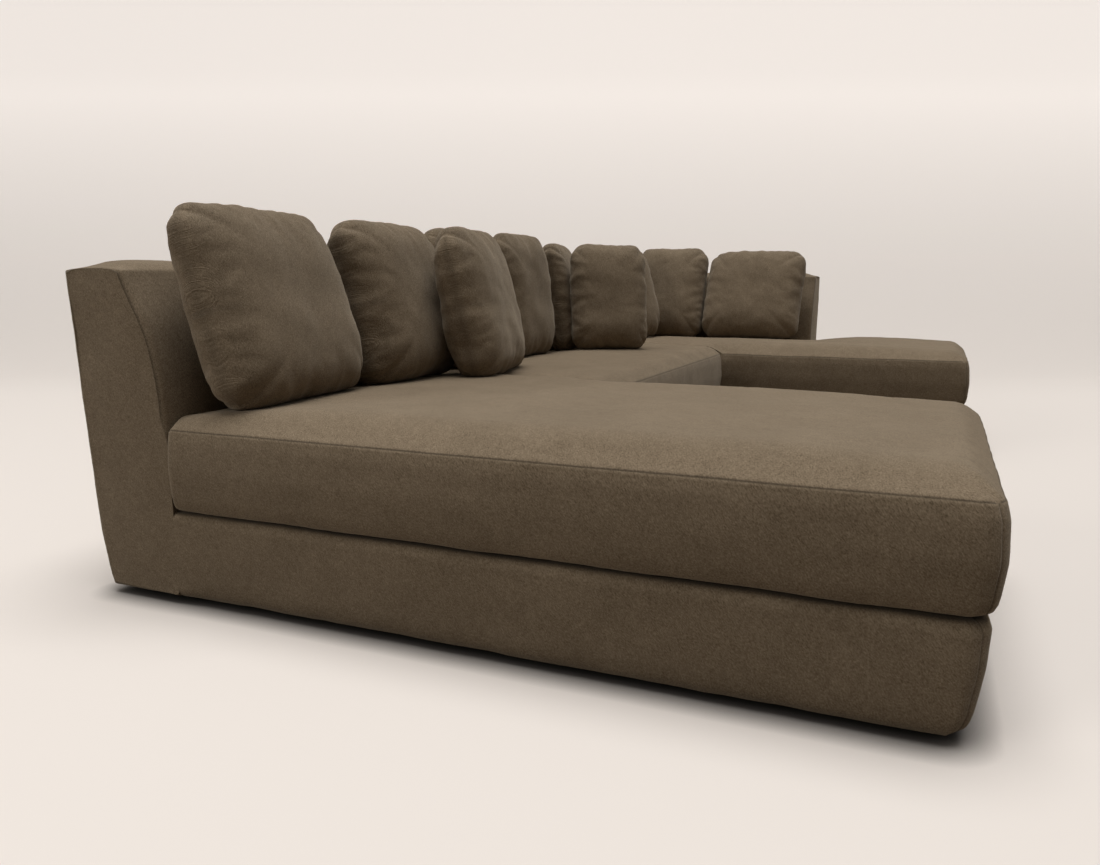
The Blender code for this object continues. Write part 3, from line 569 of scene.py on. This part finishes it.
def sweep_back(name, runs, free_ends, shift):
    """Sweeps the back's cross-section along runs of (start, end, outward), mitred where two meet.

    The last two values of a run say whether it is mitred at its start and at its end.
    """
    loop = np.concatenate([line[:-1] for line in back_outline()])
    outward, rounded = facing_out(loop), rounded_share(loop)
    shape = Shape()
    rings = []
    for k, (start, end, out, mitre_start, mitre_end) in enumerate(runs):
        start, end, out = (np.array(v, float) for v in (start, end, out))
        length = np.linalg.norm(end - start)
        along = (end - start) / length
        free_start = k == 0 and free_ends[0]
        free_end = k == len(runs) - 1 and free_ends[1]
        places = list(grid_lines([0, length], BACK_PITCH))
        for place_at in places if k == 0 else places[1:]:
            share = place_at / length
            reach = np.full(len(loop), place_at)
            if mitre_end:
                reach = share * (length + mitre_end * loop[:, 0])
            if mitre_start:
                reach = length - (1 - share) * (length + mitre_start * loop[:, 0])
            near = min(place_at if free_start else math.inf, length - place_at if free_end else math.inf)
            section = section_near_end(loop, outward, rounded, near)
            xy = start + along * reach[:, None] + out * section[:, :1]
            rings.append((np.column_stack([xy, section[:, 1]]), along))
    numbers = [shape.add(ring) for ring, along in rings]
    for first, second in zip(numbers, numbers[1:]):
        shape.bridge(second, first)
    for which, free in ((0, free_ends[0]), (-1, free_ends[1])):
        ring, along = rings[which]
        way = -along if which == 0 else along
        cap_end(shape, numbers[which], ring, way, free, which == 0)
    obj = shape.finish(name, SHARP_ANGLE)
    # The seam mark is painted shade along the seams at the back's free ends.
    seam_and_shade = np.zeros(len(obj.data.vertices))
    crown_and_inner = slice(BACK_ROWS, 2 * BACK_ROWS + BACK_COLUMNS)
    for which in (0, -1):
        if free_ends[which]:
            shown = smooth((loop[crown_and_inner, 1] - SEAM_HEIGHT) / 0.03)
            seam_and_shade[numbers[which][crown_and_inner]] = BACK_SEAM_SHADE * shown
    mark(obj, "seam_and_shade", seam_and_shade)
    place(obj, shift)
    return obj


def shares_along(points):
    """How far along their line points are, from 0 to 1."""
    steps = np.linalg.norm(np.diff(points, axis=0), axis=1)
    return np.concatenate([[0], np.cumsum(steps) / steps.sum()])


def cap_end(shape, numbers, ring, way, free, turned):
    """Closes the end of a back with a side panel, swollen a little where it is free."""
    if not free:
        shape.faces.append(tuple(numbers if turned else numbers[::-1]))
        return
    rows, columns = BACK_ROWS + 1, BACK_COLUMNS + 1
    grid = -np.ones((rows, columns), int)
    loop = list(range(len(ring)))
    outer, crown_line = loop[:rows], loop[rows - 1:rows + columns - 1]
    inner = loop[rows + columns - 2:2 * rows + columns - 2]
    under = loop[2 * rows + columns - 3:] + [0]
    grid[:, 0], grid[-1, :] = outer, crown_line
    grid[:, -1], grid[0, :] = inner[::-1], under[::-1]
    u = shares_along(ring[grid[:, 0]])[:, None, None]
    v = shares_along(ring[grid[-1, :]])[None, :, None]
    left, right = ring[grid[:, 0]][:, None], ring[grid[:, -1]][:, None]
    below, above = ring[grid[0, :]][None], ring[grid[-1, :]][None]
    corners = [[ring[grid[0, 0]], ring[grid[0, -1]]], [ring[grid[-1, 0]], ring[grid[-1, -1]]]]
    patch = left * (1 - v) + right * v + below * (1 - u) + above * u
    patch = patch - ((corners[0][0] * (1 - v) + corners[0][1] * v) * (1 - u)
                     + (corners[1][0] * (1 - v) + corners[1][1] * v) * u)
    edge = np.minimum(np.minimum(u, 1 - u) * 0.78, np.minimum(v, 1 - v) * 0.19)
    patch[..., :2] += way * BACK_END_SWELL * smooth(edge / 0.07)
    all_numbers = numbers[grid]
    all_numbers[1:-1, 1:-1] = shape.add(patch[1:-1, 1:-1]).reshape(rows - 2, columns - 2)
    shape.grid(all_numbers if turned else all_numbers.T)


def new_material(name):
    """A material, its node tree and its shader."""
    material = bpy.data.materials.new(name)
    material.use_nodes = True
    tree = material.node_tree
    return material, tree, tree.nodes["Principled BSDF"]


def set_inputs(node, values):
    """Gives inputs of a node, by name or number, their values, and links those that are sockets."""
    for name, value in values.items():
        if isinstance(value, bpy.types.NodeSocket):
            node.id_data.links.new(value, node.inputs[name])
        else:
            node.inputs[name].default_value = value


def new_node(tree, kind, inputs=(), **settings):
    """Adds a node with its settings and its inputs."""
    node = tree.nodes.new("ShaderNode" + kind)
    for name, value in settings.items():
        setattr(node, name, value)
    set_inputs(node, dict(inputs))
    return node


def math_node(tree, kind, *values):
    """One or two values or sockets, joined by a sum, a product or the like."""
    return new_node(tree, "Math", enumerate(values), operation=kind).outputs[0]


def colour_mix(tree, factor, first, second):
    """Two colours mixed by a factor."""
    mix = new_node(tree, "Mix", {"Factor": factor, "A": first, "B": second}, data_type="RGBA")
    return mix.outputs["Result"]


def colour_ramp(tree, value, *stops):
    """The colour at a value between two stops, each with its position and its colour."""
    ramp = new_node(tree, "ValToRGB", {"Fac": value})
    for element, (position, colour) in zip(ramp.color_ramp.elements, stops):
        element.position, element.color = position, colour
    return ramp.outputs["Color"]


# The covering fabric
FABRIC_DARK = (0.098, 0.0705, 0.0430, 1)
FABRIC_LIGHT = (0.264, 0.2030, 0.1380, 1)
# The near-black colour mixed in along the seams is painted shade: the shadow of seam grooves and of the gap
# under a seat.
PAINTED_SEAM_SHADE = (0.012, 0.008, 0.005, 1)
BRUSHED_WAY = (-0.70, 0.30, 0.0)
NAP_DEPTH = 0.0010
STREAK_DEPTH = 0.0007
PILE_DEPTH = 0.00035
GATHER_DEPTH = 0.006


def fabric(name):
    """Short-pile upholstery: a mottled nap, brushed streaks, fine pile, a soft sheen and painted shade along
    the seams.
    """
    material, tree, shader = new_material(name)
    coords = new_node(tree, "TexCoord")

    def noise(scale, detail, rough, shift, stretch=(1, 1, 1), turn=(0, 0, 0), distortion=0.0):
        """A noise of the object's place, turned and then stretched."""
        mapping = new_node(tree, "Mapping", {
            "Vector": coords.outputs["Object"], "Location": (shift, 0, shift), "Rotation": turn,
            "Scale": stretch,
        }, vector_type="TEXTURE")
        texture = new_node(tree, "TexNoise", {
            "Vector": mapping.outputs["Vector"], "Scale": scale, "Detail": detail, "Roughness": rough,
            "Distortion": distortion,
        })
        return texture.outputs["Fac"]

    def share(value, low, high):
        """The middle of a noise's range, made a share of the colour's mix."""
        ends = {"Value": value, "From Min": 0.3, "From Max": 0.7, "To Min": low, "To Max": high}
        return new_node(tree, "MapRange", ends).outputs["Result"]

    def add(first, second, depth=1.0):
        """The first value, and the second times a depth."""
        if depth != 1.0:
            second = math_node(tree, "MULTIPLY", second, depth)
        return math_node(tree, "ADD", first, second)

    blotch = noise(6.0, 3.0, 0.55, 1.3, turn=(0.4, 0.2, 0.7), distortion=0.6)
    nap = noise(60.0, 4.0, 0.62, 4.1, stretch=(1, 1, 1.7), turn=BRUSHED_WAY, distortion=0.6)
    streak = noise(480.0, 3.0, 0.6, 7.7, stretch=(1, 1, 2.6), turn=BRUSHED_WAY, distortion=0.3)
    pile = noise(900.0, 2.0, 0.6, 2.9)
    mix = add(share(blotch, 0.02, 0.10), share(nap, 0.02, 0.12))
    mix = add(add(mix, share(streak, 0.0, 0.48)), share(pile, 0.0, 0.28))
    cover = colour_ramp(tree, mix, (0.26, FABRIC_DARK), (0.78, FABRIC_LIGHT))
    seam_and_shade, around, inwards = (new_node(tree, "Attribute", attribute_name=label).outputs["Fac"]
                             for label in ("seam_and_shade", "around", "gather"))
    along_seam = new_node(tree, "CombineXYZ", {"X": around, "Y": math_node(tree, "MULTIPLY", inwards, 0.9)})
    folds = new_node(tree, "TexNoise", {"Vector": along_seam.outputs["Vector"], "Scale": 62.0, "Detail": 1.5})
    height = math_node(tree, "MULTIPLY", nap, NAP_DEPTH)
    height = add(add(height, streak, STREAK_DEPTH), pile, PILE_DEPTH)
    height = add(height, math_node(tree, "MULTIPLY", folds.outputs["Fac"], inwards), GATHER_DEPTH)
    bumps = new_node(tree, "Bump", {"Height": height, "Strength": 0.55, "Distance": 1.0})
    set_inputs(shader, {
        # The seam mark mixes in painted shade.
        "Base Color": colour_mix(tree, math_node(tree, "MULTIPLY", seam_and_shade, 0.85), cover, PAINTED_SEAM_SHADE),
        "Normal": bumps.outputs["Normal"], "Roughness": 0.92, "Specular IOR Level": 0.15,
        "Sheen Weight": 0.22, "Sheen Roughness": 0.45, "Sheen Tint": (1.0, 0.90, 0.75, 1),
    })
    return material


UPHOLSTERY = fabric("upholstery_fabric")


def dress(obj, node, body="sofa"):
    """Gives a soft piece its cover, and lets it stand for its plain solid."""
    obj.data.materials.clear()
    obj.data.materials.append(UPHOLSTERY)
    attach(obj, body)
    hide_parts(node)


PADDING_RIPPLE = 0.0011


def settle_surface(obj, seed):
    """Adds the gentle unevenness of padding under cloth."""
    points, normals = read_points(obj), read_normals(obj)
    push = ripples(points, 0.22, seed) * PADDING_RIPPLE
    push += ripples(points, 0.07, seed + 1) * PADDING_RIPPLE * 0.35
    write_points(obj, points + normals * push[:, None])


def build_seats():
    """The seat cushions and bases of the three sections."""
    w, front = CHAISE_WIDTH, -CHAISE_LENGTH
    chaise = Plan([(0, front, FRONT), (w, front, SIDE), (w, -MIDDLE_DEPTH, JOINT), (w, -BACK_DEPTH, BACK),
                   (0, -BACK_DEPTH, SIDE)])
    sides = [(*corner, kind) for corner, kind in zip(chaise.corners, chaise.kinds)]
    chaise_base = Plan(sides, flush=-BACK_DEPTH)
    w = MIDDLE_WIDTH
    middle = Plan([(0, -MIDDLE_DEPTH, FRONT), (w, -MIDDLE_DEPTH, JOINT), (w, -BACK_DEPTH, BACK),
                   (0, -BACK_DEPTH, JOINT)])
    w, front, end = CORNER_WIDTH, -CORNER_LENGTH, -SIDE_BACK_LENGTH
    inner = w - BACK_DEPTH
    corner = Plan([(0, front, FRONT), (w, front, SIDE), (w, end, BACK), (inner, end, BACK),
                   (inner, -BACK_DEPTH, BACK), (0, -BACK_DEPTH, JOINT), (0, -MIDDLE_DEPTH, SIDE)],
                  notch=(inner, end))
    shifts = {"chaise": 0, "middle": CHAISE_WIDTH, "corner": CHAISE_WIDTH + MIDDLE_WIDTH}
    for number, (section, plan) in enumerate((("chaise", chaise), ("middle", middle), ("corner", corner))):
        seat = soft_block(section + "_seat_pad", plan, SEAT_LOW, SEAM_HEIGHT, SEAT_TUCK, True)
        under = chaise_base if section == "chaise" else plan
        base = soft_block(section + "_base_cover", under, BASE_LOW, BASE_HIGH, BASE_TUCK, False)
        for obj, node, seed in ((seat, "_seat_cushion", SEAT_SEED), (base, "_base_upholstery", BASE_SEED)):
            place(obj, shifts[section])
            settle_surface(obj, seed + number)
            dress(obj, section + node)


def build_backs():
    """The backs of the three sections."""
    rear, side = (0, 1), (1, 0)
    runs = [((BACK_END_INSET, 0), (CHAISE_WIDTH - SECTION_GAP, 0), rear, 0, 0)]
    chaise = sweep_back("chaise_back_pad", runs, (True, False), 0)
    runs = [((0, 0), (MIDDLE_WIDTH - SECTION_GAP, 0), rear, 0, 0)]
    middle = sweep_back("middle_back_pad", runs, (False, False), CHAISE_WIDTH)
    w, end = CORNER_WIDTH, -SIDE_BACK_LENGTH + BACK_END_SWELL + PIECE_GAP
    runs = [((0, 0), (w, 0), rear, 0, 1), ((w, 0), (w, end), side, 1, 0)]
    corner = sweep_back("corner_back_pad", runs, (False, True), CHAISE_WIDTH + MIDDLE_WIDTH)
    for number, (obj, section) in enumerate(((chaise, "chaise"), (middle, "middle"), (corner, "corner"))):
        settle_surface(obj, BACK_SEED + number)
        dress(obj, section + "_back_upholstery")


def cushion_frame(node):
    """The directions across, up and forwards of a loose cushion, its centre and its size."""
    points = read_points(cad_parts[node])
    spread = np.cov((points - points.mean(0)).T)
    values, vectors = np.linalg.eigh(spread)
    forward = vectors[:, 0] * (1 if vectors[2, 0] > 0 else -1)
    across = np.cross((0, 0, 1), forward)
    across /= np.linalg.norm(across)
    up = np.cross(forward, across)
    axes = np.stack([across, up, forward])
    local = points @ axes.T
    low, high = local.min(0), local.max(0)
    return axes, (low + high) / 2, high - low


# The cover of a cushion as cloth, a little more of it than the form needs
CLOTH = {
    "quality": 5, "mass": 0.25, "tension_stiffness": 12.0, "compression_stiffness": 12.0,
    "shear_stiffness": 6.0, "bending_stiffness": 0.16, "use_pressure": True, "uniform_pressure_force": 5.0,
    "shrink_min": -0.08, "vertex_group_mass": "pinned", "pin_stiffness": 0.6,
}
CLOTH_FRAMES = 20


def inflate(obj, pinned):
    """Where a cushion's points go when its cover is blown up as cloth."""
    group = obj.vertex_groups.new(name="pinned")
    group.add([int(n) for n in pinned], 1.0, "REPLACE")
    cloth = obj.modifiers.new("cloth", "CLOTH")
    for setting, value in CLOTH.items():
        setattr(cloth.settings, setting, value)
    cloth.settings.effector_weights.gravity = 0
    cloth.collision_settings.use_self_collision = False
    cloth.collision_settings.use_collision = False
    for number in range(1, CLOTH_FRAMES + 1):
        bpy.context.scene.frame_set(number)
    evaluated = obj.evaluated_get(bpy.context.evaluated_depsgraph_get())
    mesh = evaluated.to_mesh()
    points = np.empty(len(mesh.vertices) * 3)
    mesh.vertices.foreach_get("co", points)
    evaluated.to_mesh_clear()
    obj.modifiers.remove(cloth)
    obj.vertex_groups.remove(group)
    bpy.context.scene.frame_set(1)
    return points.reshape(-1, 3)


def blur(field, passes):
    """Smooths a grid of values."""
    for number in range(passes):
        for axis in (0, 1):
            last = field.shape[axis] - 1
            before = field.take([0, *range(last)], axis)
            after = field.take([*range(1, last + 1), last], axis)
            field = (before + 2 * field + after) / 4
    return field


# The loose cushions: their grid, how square their outline is, how far their faces stay full, and how
# much fuller they are low down than high up; then their folds, pinched corners, rim and the painted shade
# along it, gathers and rest
DIVISIONS = 44
SQUARENESS = 8.5
FULLNESS = 4.4
BELLY = 0.13
FOLD_CAP = 0.0032
FOLD_START = 0.8
FOLD_PASSES = 14
PINCH = 0.011
PINCH_REACH = 0.040
RIM_DEPTH = 0.0013
RIM_SHADE = 0.28
GATHER_REACH = 0.075
CORNER_GATHER_REACH = 0.09
GATHER_TURNS = 0.36
SINK = 0.007
REST_GAP = 0.0008
REST_SOFTNESS = 0.004


def add_folds(obj, points, sides, rim, away, seed):
    """Adds to the points the folds that the cover takes when it is blown up as cloth."""
    start = points.copy()
    start[:, 2] *= FOLD_START
    for numbers, way in zip(sides, (1, -1)):
        inner = numbers[~rim]
        start[inner, 2] += ripples(start[inner, :2], 0.055, seed + way) * 0.002
    write_points(obj, start)
    moved = inflate(obj, sides[0][rim]) - start
    for numbers in sides:
        shift = moved[numbers]
        fold = shift - blur(shift, FOLD_PASSES)
        length = np.linalg.norm(fold, axis=-1, keepdims=True)
        fold *= np.tanh(length / FOLD_CAP) * FOLD_CAP / np.maximum(length, 1e-9)
        fold *= (0.3 + 0.7 * smooth(1 - away / 0.13))[..., None]
        points[numbers[~rim]] += fold[~rim]


def cushion_faces(x, y, size, reach):
    """The front and back face of a cushion over a square grid, before its folds."""
    most = np.maximum(np.abs(x), np.abs(y))
    radial = (np.abs(x) ** SQUARENESS + np.abs(y) ** SQUARENESS) ** (1 / SQUARENESS)
    scale = np.where(radial > 1e-9, most / np.maximum(radial, 1e-9), 1)
    px, py = x * scale, y * scale
    flat = np.stack([px * size[0] / 2, py * size[1] / 2], -1)
    flat = flat * (1 - bump(reach, PINCH_REACH) * PINCH / np.hypot(*size[:2]) * 2)[..., None]
    across, upright = (np.sqrt(np.clip(1 - np.abs(v) ** FULLNESS, 0, 1)) for v in (x, y))
    forms = []
    for way in (1, -1):
        rise = way * (across * upright) * size[2] / 2 * (1 - BELLY * py)
        forms.append(np.concatenate([flat, rise[..., None]], -1))
    return forms


def mark_cover(obj, sides, rim, turn, away, reach, seed):
    """Stores a cushion's seam, as painted shade along it, and the gathers along it, for the fabric."""
    rng = np.random.default_rng(seed)
    waves = sum(np.sin(turn * k + rng.uniform(0, 6.3)) for k in (3, 5, 8, 13)) / 4
    pull = smooth(1 - away / GATHER_REACH) * (0.55 + 0.45 * waves) + 0.7 * bump(reach, CORNER_GATHER_REACH)
    seam_and_shade, around, gather = (np.zeros(len(obj.data.vertices)) for k in range(3))
    seam_and_shade[sides[0][rim]] = RIM_SHADE
    for numbers in sides:
        around[numbers] = turn * GATHER_TURNS
        gather[numbers] = np.clip(pull, 0, 1.2)
    for label, values in (("seam_and_shade", seam_and_shade), ("around", around), ("gather", gather)):
        mark(obj, label, values)


def pillow(name, node, seed):
    """A loose cushion: two crowned faces on one seam, with the folds that cloth blown up as one gives.

    The cloth gives the folds, FOLD_CAP deep at most and deepest along the seam. Apart from them and
    a gentle unevenness, each point stands on a full form drawn to the size of its solid.
    """
    axes, centre, size = cushion_frame(node)
    s = np.linspace(-1, 1, DIVISIONS + 1)
    line = 0.55 * np.sin(s * math.pi / 2) + 0.45 * s
    x, y = np.meshgrid(line, line, indexing="ij")
    rim = np.zeros(x.shape, bool)
    rim[0], rim[-1], rim[:, 0], rim[:, -1] = True, True, True, True
    to_side, to_end = (1 - np.abs(x)) * size[0] / 2, (1 - np.abs(y)) * size[1] / 2
    reach, away = np.hypot(to_side, to_end), np.minimum(to_side, to_end)
    forms = cushion_faces(x, y, size, reach)
    shape = Shape()
    front = shape.add(forms[0]).reshape(x.shape)
    back = front.copy()
    back[~rim] = shape.add(forms[1][~rim])
    shape.grid(front)
    shape.grid(back.T)
    obj = shape.finish(name)
    points = read_points(obj)
    add_folds(obj, points, (front, back), rim, away, seed)
    write_points(obj, points)
    normals = read_normals(obj)
    soft = ripples(points, 0.19, seed + 5) * 0.0022 + ripples(points, 0.09, seed + 6) * 0.0010
    points += normals * soft[:, None]
    rim_numbers = front[rim]
    points[rim_numbers] -= normals[rim_numbers] * RIM_DEPTH
    write_points(obj, (points + centre) @ axes)
    turn = np.arctan2(y * size[1], x * size[0])
    mark_cover(obj, (front, back), rim, turn, away, reach, seed)
    soften = obj.modifiers.new("soften", "SUBSURF")
    soften.levels = soften.render_levels = 1
    apply_modifiers(obj)
    return obj


def rest_on(obj, tree, sink):
    """Sets a cushion down into its seat, flattened where it touches."""
    points = read_points(obj)
    points[:, 2] -= sink
    for number in np.nonzero(points[:, 2] < points[:, 2].min() + 0.09)[0]:
        x, y, z = points[number]
        hit = tree.ray_cast(Vector((x, y, 2)), Vector((0, 0, -1)))[0]
        if hit is None:
            continue
        above = (z - hit.z - REST_GAP) / REST_SOFTNESS
        if above < 4:
            points[number, 2] = hit.z + REST_GAP + REST_SOFTNESS * math.log1p(math.exp(above))
    write_points(obj, points)


def apply_modifiers(obj):
    """Turns an object's modifiers into its mesh."""
    evaluated = obj.evaluated_get(bpy.context.evaluated_depsgraph_get())
    mesh = bpy.data.meshes.new_from_object(evaluated)
    obj.modifiers.clear()
    old = obj.data
    obj.data = mesh
    bpy.data.meshes.remove(old)
    obj.data.name = obj.name
    obj.data.shade_smooth()


CUSHIONS = (
    "chaise_cushion_left", "chaise_cushion_right", "middle_cushion_left", "middle_cushion_centre",
    "middle_cushion_right", "corner_cushion_rear", "side_cushion_rear", "side_cushion_front",
    "middle_cushion_turned", "corner_cushion_turned",
)


def build_cushions():
    """The ten loose cushions."""
    points, faces = [], []
    for section in ("chaise", "middle", "corner"):
        seat = bpy.data.objects[section + "_seat_pad"]
        start = len(points)
        points += [v.co.copy() for v in seat.data.vertices]
        faces += [[start + i for i in polygon.vertices] for polygon in seat.data.polygons]
    seats = BVHTree.FromPolygons(points, faces)
    for number, node in enumerate(CUSHIONS):
        obj = pillow(node + "_soft", node, CUSHION_SEED + number * 7)
        rest_on(obj, seats, SINK)
        dress(obj, node, node + "_body")


def plain_material(name, colour, second, roughness, scale, stretch=(1, 1, 1), metallic=0.0):
    """A finish for the hard parts: two colours mixed by a stretched noise, with a matching bump."""
    material, tree, shader = new_material(name)
    coords = new_node(tree, "TexCoord")
    mapping = new_node(tree, "Mapping", {"Vector": coords.outputs["Object"], "Scale": stretch})
    texture = new_node(tree, "TexNoise", {"Vector": mapping.outputs["Vector"], "Scale": scale, "Detail": 5.0})
    grain = texture.outputs["Fac"]
    bumps = new_node(tree, "Bump", {"Height": grain, "Distance": 0.0004})
    set_inputs(shader, {
        "Base Color": colour_ramp(tree, grain, (0.35, (*colour, 1)), (0.65, (*second, 1))),
        "Normal": bumps.outputs["Normal"], "Roughness": roughness, "Metallic": metallic,
    })
    return material


def finish_hard_parts():
    """Better finishes for the frames, webbing, dust covers, feet and plates."""
    timber = plain_material("planed_timber", (0.42, 0.27, 0.14), (0.58, 0.41, 0.24), 0.6, 9.0, (1, 1, 9))
    webbing = plain_material("woven_webbing", (0.045, 0.043, 0.040), (0.10, 0.097, 0.090), 0.8, 900.0)
    dust = plain_material("dust_cloth", (0.016, 0.016, 0.016), (0.030, 0.030, 0.029), 0.9, 700.0)
    foot = plain_material("moulded_foot", (0.012, 0.012, 0.012), (0.020, 0.020, 0.020), 0.42, 300.0)
    steel = plain_material("plated_steel", (0.50, 0.50, 0.49), (0.60, 0.60, 0.59), 0.32, 60.0, (1, 9, 1), 1.0)
    finishes = {"_frame": timber, "_webbing": webbing, "_dust_cover": dust, "_foot_": foot, "_plate_": steel}
    for name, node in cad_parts.items():
        for part, finish in finishes.items():
            if part in name:
                node.material_slots[0].material = finish


# The floor, the backdrop and the light round them
FLOOR_SEEN = (0.738, 0.682, 0.640, 1)
FLOOR_BOUNCE = (0.155, 0.125, 0.095, 1)
# Painted contact shade: the floor's colour goes toward this near-black where ambient occlusion within a reach
# finds things close over it.
FLOOR_PAINTED_SHADE = (0.02, 0.018, 0.016, 1)
CONTACT_SHADE_REACH = 0.07
CONTACT_SHADE_POWER = 1.7
BACKDROP_COLOUR = (1.0, 0.935, 0.885, 1)
BACKDROP_GLOW = 0.70
FULL_GLOW_SLOPE = 0.08
FLOOR_START, FLOOR_BEND, BACKDROP_REACH = -9.0, -6.0, 6.5
SWEEP_RADIUS = 3.0
BACKDROP_HEIGHT = 9.0
HALF_WIDTH = 14
SURROUND_COLOUR = (1.0, 0.955, 0.905, 1)
SURROUND_LOW = 0.0
SURROUND_HIGH = 0.31
SURROUND_SEEN = 0.84

# The lamps
SUN_POWER = 2.75
SUN_SPREAD = 48
SUN_FROM = (0.02, -0.05, 1.0)
LAMP_SIZE = (4.0, 3.0)
LAMP_POWER = 54
LAMP_SPREAD = 100
LAMP_PLACE = (-8.0, 5.0, 3.8)
LAMP_AIM = (-1.8, 0.2, 0.35)


def seen_directly(tree):
    """A socket that is 1 for camera, glossy and transmission rays and 0 for the light that bounces."""
    path = new_node(tree, "LightPath")
    total = path.outputs["Is Camera Ray"]
    for kind in ("Is Glossy Ray", "Is Transmission Ray"):
        total = math_node(tree, "ADD", total, path.outputs[kind])
        total.node.use_clamp = True
    return total


def floor_material():
    """A pale floor, with painted contact shade where things stand close over it, that glows where it turns up
    into the backdrop.
    """
    material, tree, shader = new_material("pale_floor")
    direct = seen_directly(tree)
    colour = colour_mix(tree, direct, FLOOR_BOUNCE, FLOOR_SEEN)
    # Painted shade: the floor's colour is darkened where things stand close over it.
    contact_shade = new_node(tree, "AmbientOcclusion", {"Distance": CONTACT_SHADE_REACH}, samples=16)
    openness = math_node(tree, "POWER", contact_shade.outputs["AO"], CONTACT_SHADE_POWER)
    surface = new_node(tree, "NewGeometry")
    split = new_node(tree, "SeparateXYZ", {"Vector": surface.outputs["Normal"]})
    rise = new_node(tree, "MapRange", {
        "Value": math_node(tree, "ABSOLUTE", split.outputs["Z"]), "From Min": 1.0,
        "From Max": FULL_GLOW_SLOPE, "To Max": BACKDROP_GLOW,
    })
    set_inputs(shader, {
        "Base Color": colour_mix(tree, openness, FLOOR_PAINTED_SHADE, colour), "Roughness": 0.9,
        "Specular IOR Level": 0.1, "Emission Color": BACKDROP_COLOUR,
        "Emission Strength": math_node(tree, "MULTIPLY", rise.outputs["Result"], direct),
    })
    return material


def build_floor():
    """A floor that sweeps up into the backdrop, square to the camera's way."""
    bend = BACKDROP_REACH - SWEEP_RADIUS
    profile = [(FLOOR_START, 0.0)] + [(d, 0.0) for d in np.linspace(FLOOR_BEND, bend, 6)]
    for turn in np.linspace(0, math.pi / 2, 25)[1:]:
        profile.append((bend + SWEEP_RADIUS * math.sin(turn), SWEEP_RADIUS * (1 - math.cos(turn))))
    profile.append((BACKDROP_REACH, BACKDROP_HEIGHT))
    way = np.array([math.cos(CAMERA_YAW), math.sin(CAMERA_YAW)])
    side = np.array([-way[1], way[0]])
    across = np.linspace(-HALF_WIDTH, HALF_WIDTH, 9)
    rows = [[[*(way * reach + side * s), height] for s in across] for reach, height in profile]
    shape = Shape()
    shape.grid(shape.add(rows).reshape(len(rows), len(across)))
    sweep = shape.finish("floor_and_backdrop")
    sweep.data.materials.append(floor_material())


def build_surround():
    """A world that lights from above, and is an even pale colour where it is seen."""
    world = bpy.data.worlds.new("soft_surround")
    bpy.context.scene.world = world
    world.use_nodes = True
    tree = world.node_tree
    sky = new_node(tree, "TexCoord")
    split = new_node(tree, "SeparateXYZ", {"Vector": sky.outputs["Generated"]})
    level = new_node(tree, "MapRange", {
        "Value": split.outputs["Z"], "To Min": SURROUND_LOW, "To Max": SURROUND_HIGH,
    })
    strength = new_node(tree, "Mix", {
        "Factor": seen_directly(tree), "A": level.outputs["Result"], "B": SURROUND_SEEN,
    })
    background = tree.nodes["Background"]
    set_inputs(background, {"Color": SURROUND_COLOUR, "Strength": strength.outputs["Result"]})


def add_to_scene(name, data):
    """An object in the scene for a lamp or a camera."""
    obj = bpy.data.objects.new(name, data)
    bpy.context.scene.collection.objects.link(obj)
    return obj


def build_lamps():
    """A broad light from straight above, and a soft lamp to the rear left."""
    sun = bpy.data.lights.new("overhead", "SUN")
    sun.energy = SUN_POWER
    sun.angle = math.radians(SUN_SPREAD)
    sun.color = (1, 1, 0.99)
    overhead = add_to_scene("overhead", sun)
    overhead.rotation_euler = (-Vector(SUN_FROM)).to_track_quat("-Z", "Y").to_euler()

    area = bpy.data.lights.new("rear_left", "AREA")
    area.shape = "RECTANGLE"
    area.size, area.size_y = LAMP_SIZE
    area.energy = LAMP_POWER
    area.spread = math.radians(LAMP_SPREAD)
    area.color = (1, 0.97, 0.92)
    lamp = add_to_scene("rear_left", area)
    lamp.location = LAMP_PLACE
    lamp.rotation_euler = (Vector(LAMP_AIM) - lamp.location).to_track_quat("-Z", "Y").to_euler()


def build_camera():
    """The camera, at the photograph's place."""
    data = bpy.data.cameras.new("camera")
    data.lens = CAMERA_LENS
    data.sensor_width = 36
    data.sensor_fit = "HORIZONTAL"
    data.clip_end = 100
    camera = add_to_scene("camera", data)
    yaw, pitch = CAMERA_YAW, CAMERA_PITCH
    ahead = Vector((math.cos(pitch) * math.cos(yaw), math.cos(pitch) * math.sin(yaw), math.sin(pitch)))
    right = ahead.cross(Vector((0, 0, 1))).normalized()
    above = right.cross(ahead)
    turn = Matrix((right, above, -ahead)).transposed().to_4x4()
    camera.matrix_world = Matrix.Translation(PLAN + Vector(CAMERA_PLACE)) @ turn
    bpy.context.scene.camera = camera
    bpy.context.scene.view_settings.view_transform = "Standard"


build_floor()
build_surround()
build_lamps()
build_camera()
build_seats()
build_backs()
build_cushions()
finish_hard_parts()
